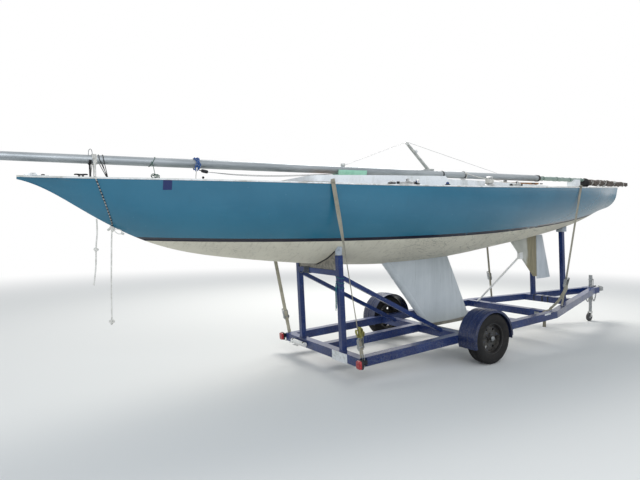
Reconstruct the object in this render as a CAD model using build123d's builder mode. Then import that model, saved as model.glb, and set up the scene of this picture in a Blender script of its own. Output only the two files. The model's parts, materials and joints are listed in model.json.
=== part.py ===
from build123d import *

import math
import os

os.makedirs("parts", exist_ok=True)

# A one-design racing keelboat on its single-axle road trailer, in millimetres and degrees.
# It stands as parked: the boat faces the trailer's tail, and the jack holds the tongue up.
# +X runs aft along the boat and forward along the trailer, +Y to starboard, +Z up from the ground.
# The boat and the trailer each have a level frame of their own, pitched about the line on the
# ground below the axle. X in both counts from the stem head.

# Stance
axle_x = 4912
boat_pitch = 2.58
trailer_pitch = 3.45
seat_gap = 0.3

# Hull
hull_wall = 14
transom_wall = 20
deck_thickness = 18
deck_crown = 0.055
# station x, deck half breadth, deck edge height, keel line height, bilge corner y, bilge corner z,
# share of the shorter run beside the corner that the bilge's round takes
hull_sections = [
    (0, 14, 2328, 2312, 9, 2319, 0.94),
    (500, 200, 2307, 2040, 90, 2140, 0.94),
    (1050, 385, 2287, 1722, 220, 1870, 0.94),
    (2000, 665, 2254, 1479, 480, 1680, 0.94),
    (3100, 885, 2218, 1332, 755, 1580, 0.94),
    (4600, 1050, 2192, 1252, 980, 1500, 0.94),
    (6000, 1030, 2194, 1336, 955, 1545, 0.94),
    (7400, 860, 2211, 1497, 750, 1630, 0.94),
    (8500, 610, 2236, 1677, 500, 1790, 0.85),
    (9296, 390, 2256, 1857, 335, 1955, 0.6),
]
hull_rise = 2
fitting_depth = 200
through = 4000

# Cockpit
coaming_front = 2700
rudder_setback = 200
coaming_wall = 22
coaming_front_half = 545
coaming_shoulder_x = 3550
coaming_shoulder_half = 615
coaming_mid_x = 5200
coaming_mid_half = 640
coaming_aft_half = 410
coaming_corner = 180
coaming_shoulder_round = 1500
coaming_mid_round = 4000
coaming_top_front = 2350
coaming_top_step = 2366
coaming_step_x = 4640
coaming_low_step = 2328
coaming_top_aft = 2276
corner_share = 0.9
step_length = 40
sole_z = 1770
sole_thickness = 20
partner_setback = 630
partner_length = 260
partner_z = 2215
partner_depth = 40
partner_hole = 150
traveller_x = 5980
traveller_width = 90
traveller_depth = 60
traveller_z = 2240
track_width = 32
track_height = 26
car_length = 90
car_lip = 22
corner_reach = 230

# Keel, skeg and rudder
keel_root_z = 1251
keel_tip_z = 360
keel_root_lead = 4093
keel_root_trail = 5310
keel_tip_lead = 4798
keel_tip_trail = 5716
keel_root_thick = 178
keel_tip_thick = 136
keel_into_hull = 120
skeg_root_lead = 6735
skeg_root_z = 1440
skeg_tip_lead = 7330
skeg_tip_z = 800
skeg_into_hull = 130
skeg_root_thick = 70
skeg_tip_thick = 46
foil_edge = 8
rudder_x = 7450
rudder_tip_z = 752
rudder_head_z = 1488
rudder_head_chord = 165
rudder_tip_chord = 365
rudder_head_thick = 62
rudder_tip_thick = 40
hinge_gap = 9
stock_diameter = 34
stock_clearance = 0.3
tube_skin = 5
tiller_length = 1050
tiller_z = 2351
tiller_width = 38
tiller_height = 28
tiller_head = 70

# Mast, lashed on deck with its heel over the transom
mast_head_x = -950
mast_bare_end = 7450
mast_cover_end = 8900
mast_heel = 10400
mast_line_z = 2512
mast_line_fall = 0.0095
mast_height = 100
mast_breadth = 122
mast_head_height = 70
mast_head_breadth = 84
mast_taper_x = 2300
mast_wall = 3.2
cover_height = 76
cover_breadth = 84
cover_end_height = 60
band_length = 46
band_lip = 5
ball_x = 8915
ball_radius = 86
bundle_start = 8930
bundle_mid = 9600
bundle_height = 128
bundle_breadth = 140
bundle_end_height = 92
bundle_line_z = 2392
bundle_fall = 30
spreader_x = 5030
spreader_run = 460
spreader_rise = 415
spreader_chord = 44
spreader_thick = 26
spreader_taper = 0.6
socket_length = 150
socket_height = 34
socket_lip = 12
shroud_radius = 2.5
shroud_lift = 11
shroud_fore_x = 3494
shroud_aft_x = 6450
crutch_x = 590
crutch_length = 60
crutch_width = 110
pad_x = 3600
pad_length = 440
pad_thick = 22
pad_depth = 56
stern_rest_x = 8560
stern_rest_length = 160
stern_rest_width = 150

# Deck fittings
winch_x = 5220
winch_base = 62
winch_drum = 44
winch_waist = 34
winch_height = 118
winch_foot = 14
winch_lip = 9
cleat_x = 3620
cleat_length = 90
cleat_width = 44
cleat_height = 34
jib_track_x = 3830
jib_track_length = 280
aft_track_x = 5770
aft_track_length = 240
stem_fitting_x = 150
stem_fitting_length = 210
stem_fitting_width = 34
stem_fitting_height = 26

# Trailer frame
frame_top = 380
tube_size = 102
tube_wall = 4.8
rear_bar_x = 3049
rail_outer = 832
rail_bend_x = 6670
bend_bar_x = 6605
tongue_x = 8980
tongue_half = 72
head_length = 160
keel_beam_x = 4700
keel_beam_aft_x = 5800
front_bar_x = 7726
bunk_thick = 40
bunk_width = 170
post_size = 64
post_wall = 4
rear_post_x = 3100
rear_post_y = 455
rear_post_rise = 1100
post_bar_rise = 930
brace_rise = 860
brace_foot_x = 4680
brace_size = 50
brace_wall = 3.2
chock_thick = 38
front_post_y = 279
front_post_rise = 1110
post_pad_reach = 130
front_pad_size = 120
pole_foot_y = 556
pole_top_x = 6985
pole_top_z = 1170
pole_radius = 16
pole_cap_length = 110
pole_cap_width = 70

# Axle, wheels and fenders
tyre_radius = 318
tyre_width = 186
tyre_face_y = 1093
tyre_shoulder = 40
rim_radius = 190
rim_width = 150
hub_radius = 42
cap_radius = 26
tyre_bead = 150
hub_inner_y = 884
rim_thick = 5
rim_disc = 8
rim_holes = 6
rim_hole_radius = 17
rim_hole_circle = 122
axle_tube = 70
axle_wall = 6
arm_reach = 150
arm_thick = 24
arm_height = 62
spindle_radius = 19
spindle_clearance = 0.3
spindle_reach = 70
fender_gap = 34
fender_thick = 4
fender_outer_y = 1104
fender_round = 26
fender_front_angle = -4
fender_rear_angle = 197

# Tongue jack and coupler
sleeve_outer = 62
sleeve_wall = 4
sleeve_low_z = 350
sleeve_top_z = 830
sleeve_cap = 22
leg_wall = 4
leg_clearance = 0.4
leg_top_z = 620
leg_low_z = 176
caster_radius = 76
caster_width = 42
caster_axle_radius = 8
caster_trail = 34
fork_plate = 6
fork_gap = 6
fork_crown = 12
swivel_plate = 8
crank_z = 770
crank_shaft = 54
crank_reach = 120
crank_bar = 14
crank_handle = 95
coupler_length = 270
coupler_width = 84
coupler_height = 70
ball_socket = 50.8
light_width = 76
light_height = 92
light_depth = 46
light_arm = 14
prop_length = 330
prop_radius = 27
prop_y = 430
prop_ear = 8

# Straps
strap_width = 50
strap_thick = 3
strap_out = 25
bow_strap_lift = 7
stern_strap_lift = 3.5
bow_strap_x = 2775
bow_strap_setback = 60
bow_strap_foot_x = 3092
bow_strap_foot_z = 353
bow_strap_foot_half = 818
stern_strap_x = 7210
stern_strap_setback = 70
stern_strap_foot_x = 7074
stern_strap_foot_z = 413.2
stern_strap_foot_half = 655


def pitched_x(x, z, pitch):
    """Distance aft of the stem head, on level ground, of a point in a pitched frame."""
    angle = math.radians(pitch)
    return axle_x + (x - axle_x) * math.cos(angle) - z * math.sin(angle)


def mast_z(x):
    """Height of the lashed mast's axis."""
    return mast_line_z - mast_line_fall * x


def table_value(x, column):
    """A column of the hull's table, between its stations."""
    for a, b in zip(hull_sections, hull_sections[1:]):
        if x <= b[0]:
            return a[column] + (b[column] - a[column]) * (x - a[0]) / (b[0] - a[0])
    return hull_sections[-1][column]


def deck_z(x, y=0):
    """Height of the deck's upper face."""
    half = table_value(x, 1)
    return table_value(x, 2) + deck_thickness + deck_crown * half * (1 - (y / half) ** 2)


head_x = pitched_x(mast_head_x, mast_z(mast_head_x) + mast_head_height / 2, boat_pitch)
heel_x = pitched_x(mast_heel, bundle_line_z - bundle_fall - bundle_end_height / 2, boat_pitch)
middle_x = (head_x + heel_x) / 2


def pitched_frame(pitch):
    """Level plane of the boat or the trailer, pitched about the ground line below the axle."""
    c, s = math.cos(math.radians(pitch)), math.sin(math.radians(pitch))
    start = (axle_x * (1 - c) - middle_x, 0, -axle_x * s)
    return Plane(origin=start, x_dir=(c, 0, s), z_dir=(-s, 0, c))


boat = pitched_frame(boat_pitch)
rig = pitched_frame(trailer_pitch)
ground = Plane(origin=(-middle_x, 0, 0))


def station(frame, x, y=0, z=0):
    """Upright plane across the frame; its own x is the frame's y, and its own y is up."""
    return Plane(frame.from_local_coords((x, y, z)), x_dir=frame.y_dir, z_dir=frame.x_dir)


def side(frame, y, x=0, z=0):
    """Upright plane along the frame; its own x is the frame's x, and its own y is up."""
    return Plane(frame.from_local_coords((x, y, z)), x_dir=frame.x_dir, z_dir=-frame.y_dir)


def level(frame, z, x=0, y=0):
    """Level plane of the frame at height z."""
    return Plane(frame.from_local_coords((x, y, z)), x_dir=frame.x_dir, z_dir=frame.z_dir)


def tube(frame, start, end, size, wall):
    """Square tube round the line from start to end, added to the part being built."""
    a = Vector(*frame.from_local_coords(start))
    run = Vector(*frame.from_local_coords(end)) - a
    across = frame.z_dir.cross(run)
    if across.length < 1:
        across = frame.y_dir
    with BuildSketch(Plane(a, x_dir=across, z_dir=run)) as section:
        Rectangle(size, size)
        if wall:
            Rectangle(size - 2 * wall, size - 2 * wall, mode=Mode.SUBTRACT)
    extrude(section.sketch, amount=run.length)


coaming_aft = rudder_x - rudder_setback
partner_x = coaming_front + partner_setback
upward = (Align.CENTER, Align.CENTER, Align.MIN)
tube_radius = stock_diameter / 2 + stock_clearance + tube_skin
leg_outer = sleeve_outer - 2 * (sleeve_wall + leg_clearance)


def finish(part, name):
    """Label one finished piece and write it."""
    part.label = name
    export_step(part, f"parts/{name}.step")


def hull_section(x, half, edge, keel, corner_y, corner_z, roundness, inset=0, rise=0):
    """The hull's outline at one station: bottom, round bilges, topsides and deck line."""
    bottom = math.atan2(corner_z - keel, corner_y)
    topside = math.atan2(edge - corner_z, half - corner_y)
    turn, mean = topside - bottom, (topside + bottom) / 2
    keel += inset / math.cos(bottom)
    corner_y -= inset * math.sin(mean) / math.cos(turn / 2)
    corner_z += inset * math.cos(mean) / math.cos(turn / 2)
    half -= inset / math.sin(topside)
    run = min(math.hypot(corner_y, corner_z - keel), math.hypot(half - corner_y, edge - corner_z))
    radius = roundness * run / math.tan(turn / 2)
    with BuildSketch(station(boat, x)) as section:
        with BuildLine():
            outline = FilletPolyline((0, keel), (corner_y, corner_z), (half, edge), radius=radius)
            Line(outline @ 1, (half, edge + rise))
            mirror(about=Plane.YZ)
            Line((half, edge + rise), (-half, edge + rise))
        make_face()
    return section.sketch


with BuildPart() as hull_form:
    loft([hull_section(*row, rise=hull_rise) for row in hull_sections])

stern_row = (hull_sections[-1][0] - transom_wall, *hull_sections[-1][1:])
inner_rows = [*hull_sections[1:-1], stern_row]
with BuildPart() as hull_inside:
    loft([hull_section(*row, inset=hull_wall, rise=3 * deck_thickness) for row in inner_rows])

with BuildPart() as hull_shell:
    add(hull_form.part)
    add(hull_inside.part, mode=Mode.SUBTRACT)
    with Locations(level(boat, keel_root_z, x=rudder_x)):
        Cylinder(tube_radius, through, align=upward, mode=Mode.SUBTRACT)
finish(hull_shell.part, "hull_shell")


def deck_section(x, half, edge, depth=0):
    """Crowned slice of the deck at one station, run on downwards by depth."""
    rise = deck_crown * half
    foot = edge + hull_rise + seat_gap - depth
    top = edge + deck_thickness
    with BuildSketch(station(boat, x)) as section:
        with BuildLine():
            low = ThreePointArc((-half, foot), (0, foot + rise), (half, foot))
            high = ThreePointArc((-half, top), (0, top + rise), (half, top))
            Line(low @ 0, high @ 0)
            Line(low @ 1, high @ 1)
        make_face()
    return section.sketch


def corner_radius(before, corner, after, wanted):
    """The wanted radius, or the largest that the two runs beside a corner leave room for."""
    runs = [math.dist(before, corner), math.dist(corner, after)]
    headings = [math.atan2(b[1] - a[1], b[0] - a[0]) for a, b in ((before, corner), (corner, after))]
    turn = abs(headings[1] - headings[0])
    return min(wanted, corner_share * min(runs) / math.tan(turn / 2))


def cockpit_outline(z, inset=0):
    """Plan of the coaming at height z: blunt front, full middle, tapering aft."""
    side_corners = [
        (coaming_front, coaming_front_half),
        (coaming_shoulder_x, coaming_shoulder_half),
        (coaming_mid_x, coaming_mid_half),
        (coaming_aft, coaming_aft_half),
    ]
    rounds = [coaming_corner, coaming_shoulder_round, coaming_mid_round, coaming_corner]
    loop = [(coaming_front, 0), *side_corners, (coaming_aft, 0)]
    radii = [corner_radius(*loop[i:i + 3], wanted) for i, wanted in enumerate(rounds)]
    mirrored = [(x, -y) for x, y in reversed(side_corners)]
    with BuildSketch(level(boat, z)) as plan:
        with BuildLine():
            FilletPolyline(*side_corners, *mirrored, radius=[*radii, *reversed(radii)], close=True)
        make_face()
        if inset:
            offset(amount=-inset, mode=Mode.REPLACE)
    return plan.sketch


with BuildPart() as deck_form:
    loft([deck_section(*row[:3]) for row in hull_sections])

with BuildPart() as below_deck:
    loft([deck_section(*row[:3], depth=fitting_depth) for row in hull_sections])

with BuildPart() as deck_panels:
    add(deck_form.part)
    extrude(cockpit_outline(sole_z), amount=through, mode=Mode.SUBTRACT)
    with Locations(level(boat, keel_root_z, x=rudder_x)):
        Cylinder(tube_radius, through, align=upward, mode=Mode.SUBTRACT)

for name, ahead, behind in [
    ("foredeck", -through, coaming_front),
    ("side_decks", coaming_front, coaming_aft),
    ("aft_deck", coaming_aft, coaming_aft + 2 * through),
]:
    with BuildPart() as panel:
        add(deck_panels.part)
        with Locations(level(boat, sole_z, x=(ahead + behind) / 2)):
            Box(behind - ahead, 2 * through, through, mode=Mode.INTERSECT)
    finish(panel.part, name)

with BuildPart() as cockpit_sole:
    extrude(cockpit_outline(sole_z - sole_thickness), amount=sole_thickness)
finish(cockpit_sole.part, "cockpit_sole")

with BuildPart() as cockpit_space:
    extrude(cockpit_outline(sole_z, coaming_wall), amount=through)

with BuildPart() as cockpit_wall:
    extrude(cockpit_outline(sole_z), amount=through)
    add(cockpit_space.part, mode=Mode.SUBTRACT)
    with BuildSketch(side(boat, 0)) as profile:
        with BuildLine():
            Polyline(
                (coaming_front - coaming_wall, sole_z),
                (coaming_front - coaming_wall, coaming_top_front),
                (coaming_step_x, coaming_top_step),
                (coaming_step_x + step_length, coaming_low_step),
                (coaming_aft + coaming_wall, coaming_top_aft),
                (coaming_aft + coaming_wall, sole_z),
                close=True,
            )
        make_face()
    extrude(profile.sketch, amount=through, both=True, mode=Mode.INTERSECT)

side_front, side_aft = coaming_front + corner_reach, coaming_aft - corner_reach
for name, ahead, behind, inner, outer in [
    ("cockpit_front", coaming_front - coaming_wall, side_front, -through, through),
    ("cockpit_side_port", side_front, side_aft, -through, 0),
    ("cockpit_side_starboard", side_front, side_aft, 0, through),
    ("cockpit_aft", side_aft, coaming_aft + coaming_wall, -through, through),
]:
    with BuildPart() as board:
        add(cockpit_wall.part)
        with Locations(level(boat, sole_z, x=(ahead + behind) / 2, y=(inner + outer) / 2)):
            Box(behind - ahead, outer - inner, 2 * through, mode=Mode.INTERSECT)
    finish(board.part, name)

with BuildPart() as mast_partner:
    with Locations(level(boat, partner_z, x=partner_x)):
        Box(partner_length, 2 * coaming_mid_half, partner_depth)
        Cylinder(partner_hole / 2, 2 * partner_depth, mode=Mode.SUBTRACT)
    add(cockpit_space.part, mode=Mode.INTERSECT)
finish(mast_partner.part, "mast_partner")

with BuildPart() as traveller_beam:
    with Locations(level(boat, traveller_z, x=traveller_x)):
        Box(traveller_width, 2 * coaming_mid_half, traveller_depth)
    with Locations(level(boat, traveller_z + traveller_depth / 2, x=traveller_x)):
        Box(track_width, 2 * coaming_mid_half, track_height, align=upward)
        with Locations((0, 0, track_height)):
            Box(track_width + car_lip, car_length, track_height, align=upward)
    add(cockpit_space.part, mode=Mode.INTERSECT)
finish(traveller_beam.part, "traveller_beam")


def foil(z, lead, trail, thick):
    """Round-nosed section that tapers in two arcs to a narrow trailing edge."""
    chord = trail - lead
    with BuildSketch(level(boat, z)) as section:
        with BuildLine():
            nose = ThreePointArc(
                (lead + 0.08 * chord, 0.34 * thick), (lead, 0), (lead + 0.08 * chord, -0.34 * thick)
            )
            ThreePointArc(nose @ 0, (lead + 0.38 * chord, thick / 2), (trail, foil_edge / 2))
            ThreePointArc(nose @ 1, (lead + 0.38 * chord, -thick / 2), (trail, -foil_edge / 2))
            Line((trail, foil_edge / 2), (trail, -foil_edge / 2))
        make_face()
    return section.sketch


def fin(low, high, reach):
    """Foil between two levels, each (z, lead, trail, thick), run on upwards by reach."""
    share = (high[0] + reach - low[0]) / (high[0] - low[0])
    root = [a + share * (b - a) for a, b in zip(low, high)]
    return loft([foil(*low), foil(*root)])


with BuildPart() as keel:
    fin(
        (keel_tip_z, keel_tip_lead, keel_tip_trail, keel_tip_thick),
        (keel_root_z, keel_root_lead, keel_root_trail, keel_root_thick),
        keel_into_hull,
    )
    add(hull_form.part, mode=Mode.SUBTRACT)
finish(keel.part, "keel")

skeg_trail = rudder_x - stock_diameter / 2 - hinge_gap * 2
with BuildPart() as skeg:
    fin(
        (skeg_tip_z, skeg_tip_lead, skeg_trail, skeg_tip_thick),
        (skeg_root_z, skeg_root_lead, skeg_trail, skeg_root_thick),
        skeg_into_hull,
    )
    add(hull_form.part, mode=Mode.SUBTRACT)
finish(skeg.part, "skeg")

rudder_lead = skeg_trail + hinge_gap
with BuildPart() as rudder_blade:
    loft([
        foil(rudder_tip_z, rudder_lead, rudder_lead + rudder_tip_chord, rudder_tip_thick),
        foil(rudder_head_z, rudder_lead, rudder_lead + rudder_head_chord, rudder_head_thick),
    ])
finish(rudder_blade.part, "rudder_blade")

stock_top = tiller_z - tiller_height / 2
with BuildPart() as rudder_stock:
    with Locations(level(boat, rudder_head_z, x=rudder_x)):
        Cylinder(stock_diameter / 2, stock_top - rudder_head_z, align=upward)
finish(rudder_stock.part, "rudder_stock")

with BuildPart() as rudder_tube:
    with Locations(level(boat, keel_root_z, x=rudder_x)):
        Cylinder(tube_radius, through, align=upward)
        Cylinder(stock_diameter / 2 + stock_clearance, through, align=upward, mode=Mode.SUBTRACT)
    with BuildSketch(side(boat, 0)) as span:
        with BuildLine():
            Polyline(
                (rudder_x - 100, table_value(rudder_x - 100, 3) + hull_wall / 2),
                (rudder_x - 100, deck_z(rudder_x) + 12),
                (rudder_x + 100, deck_z(rudder_x) + 12),
                (rudder_x + 100, table_value(rudder_x + 100, 3) + hull_wall / 2),
                close=True,
            )
        make_face()
    extrude(span.sketch, amount=through, both=True, mode=Mode.INTERSECT)
finish(rudder_tube.part, "rudder_tube")

with BuildPart() as tiller:
    with Locations(level(boat, tiller_z, x=rudder_x)):
        Box(tiller_head, tiller_head * 0.8, tiller_height)
    with BuildSketch(level(boat, tiller_z - tiller_height / 2)) as bar:
        with BuildLine():
            near, far = rudder_x - tiller_head / 2, rudder_x - tiller_length
            Polyline(
                (near, tiller_width / 2),
                (far, tiller_width / 3),
                (far, -tiller_width / 3),
                (near, -tiller_width / 2),
                close=True,
            )
        make_face()
    extrude(bar.sketch, amount=tiller_height)
finish(tiller.part, "tiller")


def oval(x, z, breadth, height):
    """Oval across the boat at one station."""
    with BuildSketch(station(boat, x, z=z)) as section:
        Ellipse(breadth / 2, height / 2)
    return section.sketch


with BuildPart() as mast_form:
    ends = [
        (mast_head_x, mast_head_breadth, mast_head_height),
        (mast_taper_x, mast_breadth, mast_height),
        (mast_bare_end, mast_breadth, mast_height),
    ]
    for a, b in zip(ends, ends[1:]):
        loft([oval(x, mast_z(x), breadth, height) for x, breadth, height in (a, b)])

with BuildPart() as mast:
    add(mast_form.part)
    for a, b in zip(ends, ends[1:]):
        loft([
            oval(x, mast_z(x), breadth - 2 * mast_wall, height - 2 * mast_wall)
            for x, breadth, height in (a, b)
        ], mode=Mode.SUBTRACT)
finish(mast.part, "mast")

with BuildPart() as mast_band:
    band_end = mast_bare_end + band_length
    loft([
        oval(x, mast_z(x), mast_breadth + 2 * band_lip, mast_height + 2 * band_lip)
        for x in (mast_bare_end, band_end)
    ])
finish(mast_band.part, "mast_band")

with BuildPart() as heel_ball:
    with Locations(level(boat, deck_z(ball_x) + ball_radius + 3 * seat_gap, x=ball_x)):
        Sphere(ball_radius)
finish(heel_ball.part, "heel_ball")

with BuildPart() as mast_cover:
    loft([
        oval(band_end, mast_z(band_end), cover_breadth, cover_height),
        oval(mast_cover_end, mast_z(mast_cover_end), cover_breadth, cover_end_height),
    ])
    add(heel_ball.part, mode=Mode.SUBTRACT)
finish(mast_cover.part, "mast_cover")

with BuildPart() as heel_bundle:
    bundle_ends = [
        (bundle_start, bundle_line_z, bundle_breadth, bundle_height),
        (bundle_mid, bundle_line_z - bundle_fall / 2, bundle_breadth, bundle_height),
        (mast_heel, bundle_line_z - bundle_fall, bundle_breadth * 0.7, bundle_end_height),
    ]
    for a, b in zip(bundle_ends, bundle_ends[1:]):
        loft([oval(*a), oval(*b)])
    add(heel_ball.part, mode=Mode.SUBTRACT)
finish(heel_bundle.part, "heel_bundle")


def spreader_outline(turn):
    """Side view of one folded spreader, upper (1) or lower (-1), from the mast's axis out to its tip."""
    root_z = mast_z(spreader_x)
    slope = math.hypot(spreader_run, spreader_rise)
    lean = spreader_thick / 2 * spreader_rise / slope
    drop = spreader_thick / 2 * spreader_run / slope * turn
    tip_x, tip_z = spreader_x - spreader_run, root_z + turn * spreader_rise
    with BuildSketch(side(boat, 0)) as stick:
        with BuildLine():
            Polyline(
                (spreader_x + lean, root_z + drop),
                (tip_x + lean * spreader_taper, tip_z + drop * spreader_taper),
                (tip_x - lean * spreader_taper, tip_z - drop * spreader_taper),
                (spreader_x - lean, root_z - drop),
                close=True,
            )
        make_face()
    return stick.sketch


with BuildPart() as spreaders:
    for turn in (1, -1):
        extrude(spreader_outline(turn), amount=spreader_chord / 2, both=True)
        socket_z = mast_z(spreader_x) + turn * mast_height / 2
        with Locations(level(boat, socket_z, x=spreader_x - mast_height / 2)):
            Box(socket_length, spreader_chord + socket_lip, socket_height)
    add(mast_form.part, mode=Mode.SUBTRACT)
ends_of_spreaders = spreaders.part.solids().sort_by(SortBy.VOLUME)[-2:]
finish(Part(ends_of_spreaders), "spreaders")

with BuildPart() as shrouds:
    tip_x = spreader_x - spreader_run + shroud_radius
    tip = Vector(*boat.from_local_coords((tip_x, 0, mast_z(spreader_x) + spreader_rise + shroud_lift)))
    for x in (shroud_fore_x, shroud_aft_x):
        end = Vector(*boat.from_local_coords((x, 0, mast_z(x) + mast_height / 2 + shroud_radius + seat_gap)))
        with BuildSketch(Plane(tip, z_dir=end - tip)) as wire:
            Circle(shroud_radius)
        extrude(wire.sketch, amount=(end - tip).length)
finish(shrouds.part, "shrouds")

with BuildPart() as bow_crutch:
    foot = deck_z(crutch_x) - deck_thickness
    with Locations(level(boat, foot, x=crutch_x)):
        Box(crutch_length, crutch_width, mast_z(crutch_x) - foot, align=upward)
    add(below_deck.part, mode=Mode.SUBTRACT)
    add(mast_form.part, mode=Mode.SUBTRACT)
finish(bow_crutch.part, "bow_crutch")

with BuildPart() as mast_pad:
    loft([
        oval(x, mast_z(x), mast_breadth + 2 * pad_thick, mast_height + 2 * pad_depth)
        for x in (pad_x - pad_length / 2, pad_x + pad_length / 2)
    ])
    add(mast_form.part, mode=Mode.SUBTRACT)
    with Locations(level(boat, mast_z(pad_x), x=pad_x)):
        Box(2 * pad_length, 2 * mast_breadth, through, align=upward, mode=Mode.SUBTRACT)
finish(mast_pad.part, "mast_pad")

with BuildPart() as stern_rest:
    foot = deck_z(stern_rest_x) - deck_thickness
    with Locations(level(boat, foot, x=stern_rest_x)):
        Box(stern_rest_length, stern_rest_width, mast_z(stern_rest_x) - foot, align=upward)
    add(below_deck.part, mode=Mode.SUBTRACT)
    add(mast_cover.part, mode=Mode.SUBTRACT)
finish(stern_rest.part, "stern_rest")


def on_side_deck(x, hand):
    """Plane on the deck midway between coaming and deck edge, port (-1) or starboard (1)."""
    y = hand * (coaming_mid_half + table_value(x, 1)) / 2
    return level(boat, deck_z(x, y), x=x, y=y)


hands = (-1, 1)
with BuildPart() as winches:
    for hand in hands:
        seat = on_side_deck(winch_x, hand)
        with Locations(seat):
            with Locations((0, 0, -deck_thickness)):
                Cylinder(winch_base, deck_thickness + winch_foot, align=upward)
        with BuildSketch(Plane(seat.origin, x_dir=boat.x_dir, z_dir=-boat.y_dir)) as half_drum:
            with BuildLine():
                Polyline(
                    (winch_drum, winch_foot),
                    (0, winch_foot),
                    (0, winch_height),
                    (winch_drum - winch_lip, winch_height),
                    (winch_drum, winch_height - winch_lip),
                    (winch_waist, winch_height - 3 * winch_lip),
                )
                ThreePointArc(
                    (winch_waist, winch_height - 3 * winch_lip),
                    (winch_waist - 2, winch_height * 0.45),
                    (winch_drum, winch_foot),
                )
            make_face()
        revolve(half_drum.sketch, axis=Axis(seat.origin, boat.z_dir))
    add(below_deck.part, mode=Mode.SUBTRACT)
finish(winches.part, "winches")

with BuildPart() as deck_fittings:
    for hand in hands:
        for x, length, width, height in [
            (cleat_x, cleat_length, cleat_width, cleat_height),
            (jib_track_x, jib_track_length, track_width, track_height),
            (aft_track_x, aft_track_length, track_width, track_height),
        ]:
            with Locations(on_side_deck(x, hand)):
                with Locations((0, 0, -deck_thickness)):
                    Box(length, width, deck_thickness + height, align=upward)
    with Locations(level(boat, deck_z(stem_fitting_x), x=stem_fitting_x)):
        Box(stem_fitting_length, stem_fitting_width, 2 * stem_fitting_height)
    add(below_deck.part, mode=Mode.SUBTRACT)
finish(deck_fittings.part, "deck_fittings")

# Trailer
mid_z = frame_top - tube_size / 2
rail_y = rail_outer - tube_size / 2
rail_inner = rail_outer - tube_size
rear_face = rear_bar_x + tube_size

with BuildPart() as rear_crossbar:
    tube(rig, (rear_bar_x + tube_size / 2, -rail_outer, mid_z), (rear_bar_x + tube_size / 2, rail_outer, mid_z),
         tube_size, tube_wall)
finish(rear_crossbar.part, "rear_crossbar")

rail_blanks = []
for hand_name, hand in [("port", -1), ("starboard", 1)]:
    with BuildPart() as blank:
        tube(rig, (rear_face, hand * rail_y, mid_z), (rail_bend_x, hand * rail_y, mid_z), tube_size, 0)
        tube(rig, (rail_bend_x, hand * rail_y, mid_z), (tongue_x, hand * tongue_half, mid_z), tube_size, 0)
    rail_blanks.append(blank.part)
    with BuildPart() as side_rail:
        points = [(rear_face, hand * rail_y), (rail_bend_x, hand * rail_y), (tongue_x, hand * tongue_half)]
        with BuildLine() as path:
            Polyline(*[rig.from_local_coords((x, y, mid_z)) for x, y in points])
        with BuildSketch(station(rig, rear_face, y=hand * rail_y, z=mid_z)) as section:
            Rectangle(tube_size, tube_size)
            Rectangle(tube_size - 2 * tube_wall, tube_size - 2 * tube_wall, mode=Mode.SUBTRACT)
        sweep(section.sketch, path=path.line, transition=Transition.RIGHT)
        with Locations(Plane(rig.from_local_coords((tongue_x, 0, mid_z)), x_dir=rig.x_dir, z_dir=rig.z_dir)):
            Box(4 * tube_size, 4 * tube_size, 2 * tube_size,
                align=(Align.MIN, Align.CENTER, Align.CENTER), mode=Mode.SUBTRACT)
    finish(side_rail.part, f"side_rail_{hand_name}")


def crossbar(x):
    """Square tube across the frame, trimmed to the side rails."""
    with BuildPart() as bar:
        tube(rig, (x, -rail_inner, mid_z), (x, rail_inner, mid_z), tube_size, tube_wall)
        for rail in rail_blanks:
            add(rail, mode=Mode.SUBTRACT)
    return bar.part.solids().sort_by(SortBy.VOLUME)[-1]


bar_stations = (keel_beam_x, keel_beam_aft_x, bend_bar_x, front_bar_x)
finish(Part([crossbar(x) for x in bar_stations]), "crossbars")

with BuildPart() as centre_rail:
    tube(rig, (rear_face, 0, mid_z), (keel_beam_x - tube_size / 2, 0, mid_z), tube_size, tube_wall)
finish(centre_rail.part, "centre_rail")

with BuildPart() as keel_bunk:
    with Locations(level(boat, keel_tip_z, x=(keel_beam_x + keel_beam_aft_x) / 2)):
        Box(keel_beam_aft_x - keel_beam_x, bunk_width, bunk_thick, align=(Align.CENTER, Align.CENTER, Align.MAX))
    for x in (keel_beam_x, keel_beam_aft_x):
        with Locations(level(rig, mid_z, x=x)):
            Box(tube_size, 4 * bunk_width, 6 * tube_size, mode=Mode.SUBTRACT)
finish(keel_bunk.part.solids().sort_by(SortBy.VOLUME)[-1], "keel_bunk")

with BuildPart() as rear_post_bar:
    bar_z = frame_top + post_bar_rise - post_size / 2
    reach = rear_post_y - post_size / 2
    tube(rig, (rear_post_x, -reach, bar_z), (rear_post_x, reach, bar_z), post_size, post_wall)
finish(rear_post_bar.part, "rear_post_bar")

with BuildPart() as bow_chock:
    with Locations(level(rig, bar_z + post_size / 2, x=rear_post_x)):
        Box(chock_thick, 2 * reach, rear_post_rise - post_bar_rise + 60, align=upward)
    add(hull_form.part, mode=Mode.SUBTRACT)
finish(bow_chock.part.solids().sort_by(SortBy.VOLUME)[-1], "bow_chock")

with BuildPart() as rear_posts:
    for hand in hands:
        y = hand * rear_post_y
        tube(rig, (rear_post_x, y, frame_top), (rear_post_x, y, frame_top + rear_post_rise), post_size, post_wall)
finish(rear_posts.part, "rear_posts")

with BuildPart() as post_braces:
    for hand in hands:
        y = hand * rear_post_y
        tube(rig, (rear_post_x, y, frame_top + brace_rise), (brace_foot_x, y, frame_top - brace_size / 2),
             brace_size, brace_wall)
        with Locations(level(rig, frame_top, x=rear_post_x, y=y)):
            Box(post_size, 2 * post_size, rear_post_rise, align=upward, mode=Mode.SUBTRACT)
    with Locations(level(rig, mid_z, x=keel_beam_x)):
        Box(tube_size, 2 * rail_inner, tube_size, mode=Mode.SUBTRACT)
finish(Part(post_braces.part.solids().sort_by(SortBy.VOLUME)[-2:]), "post_braces")

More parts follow.
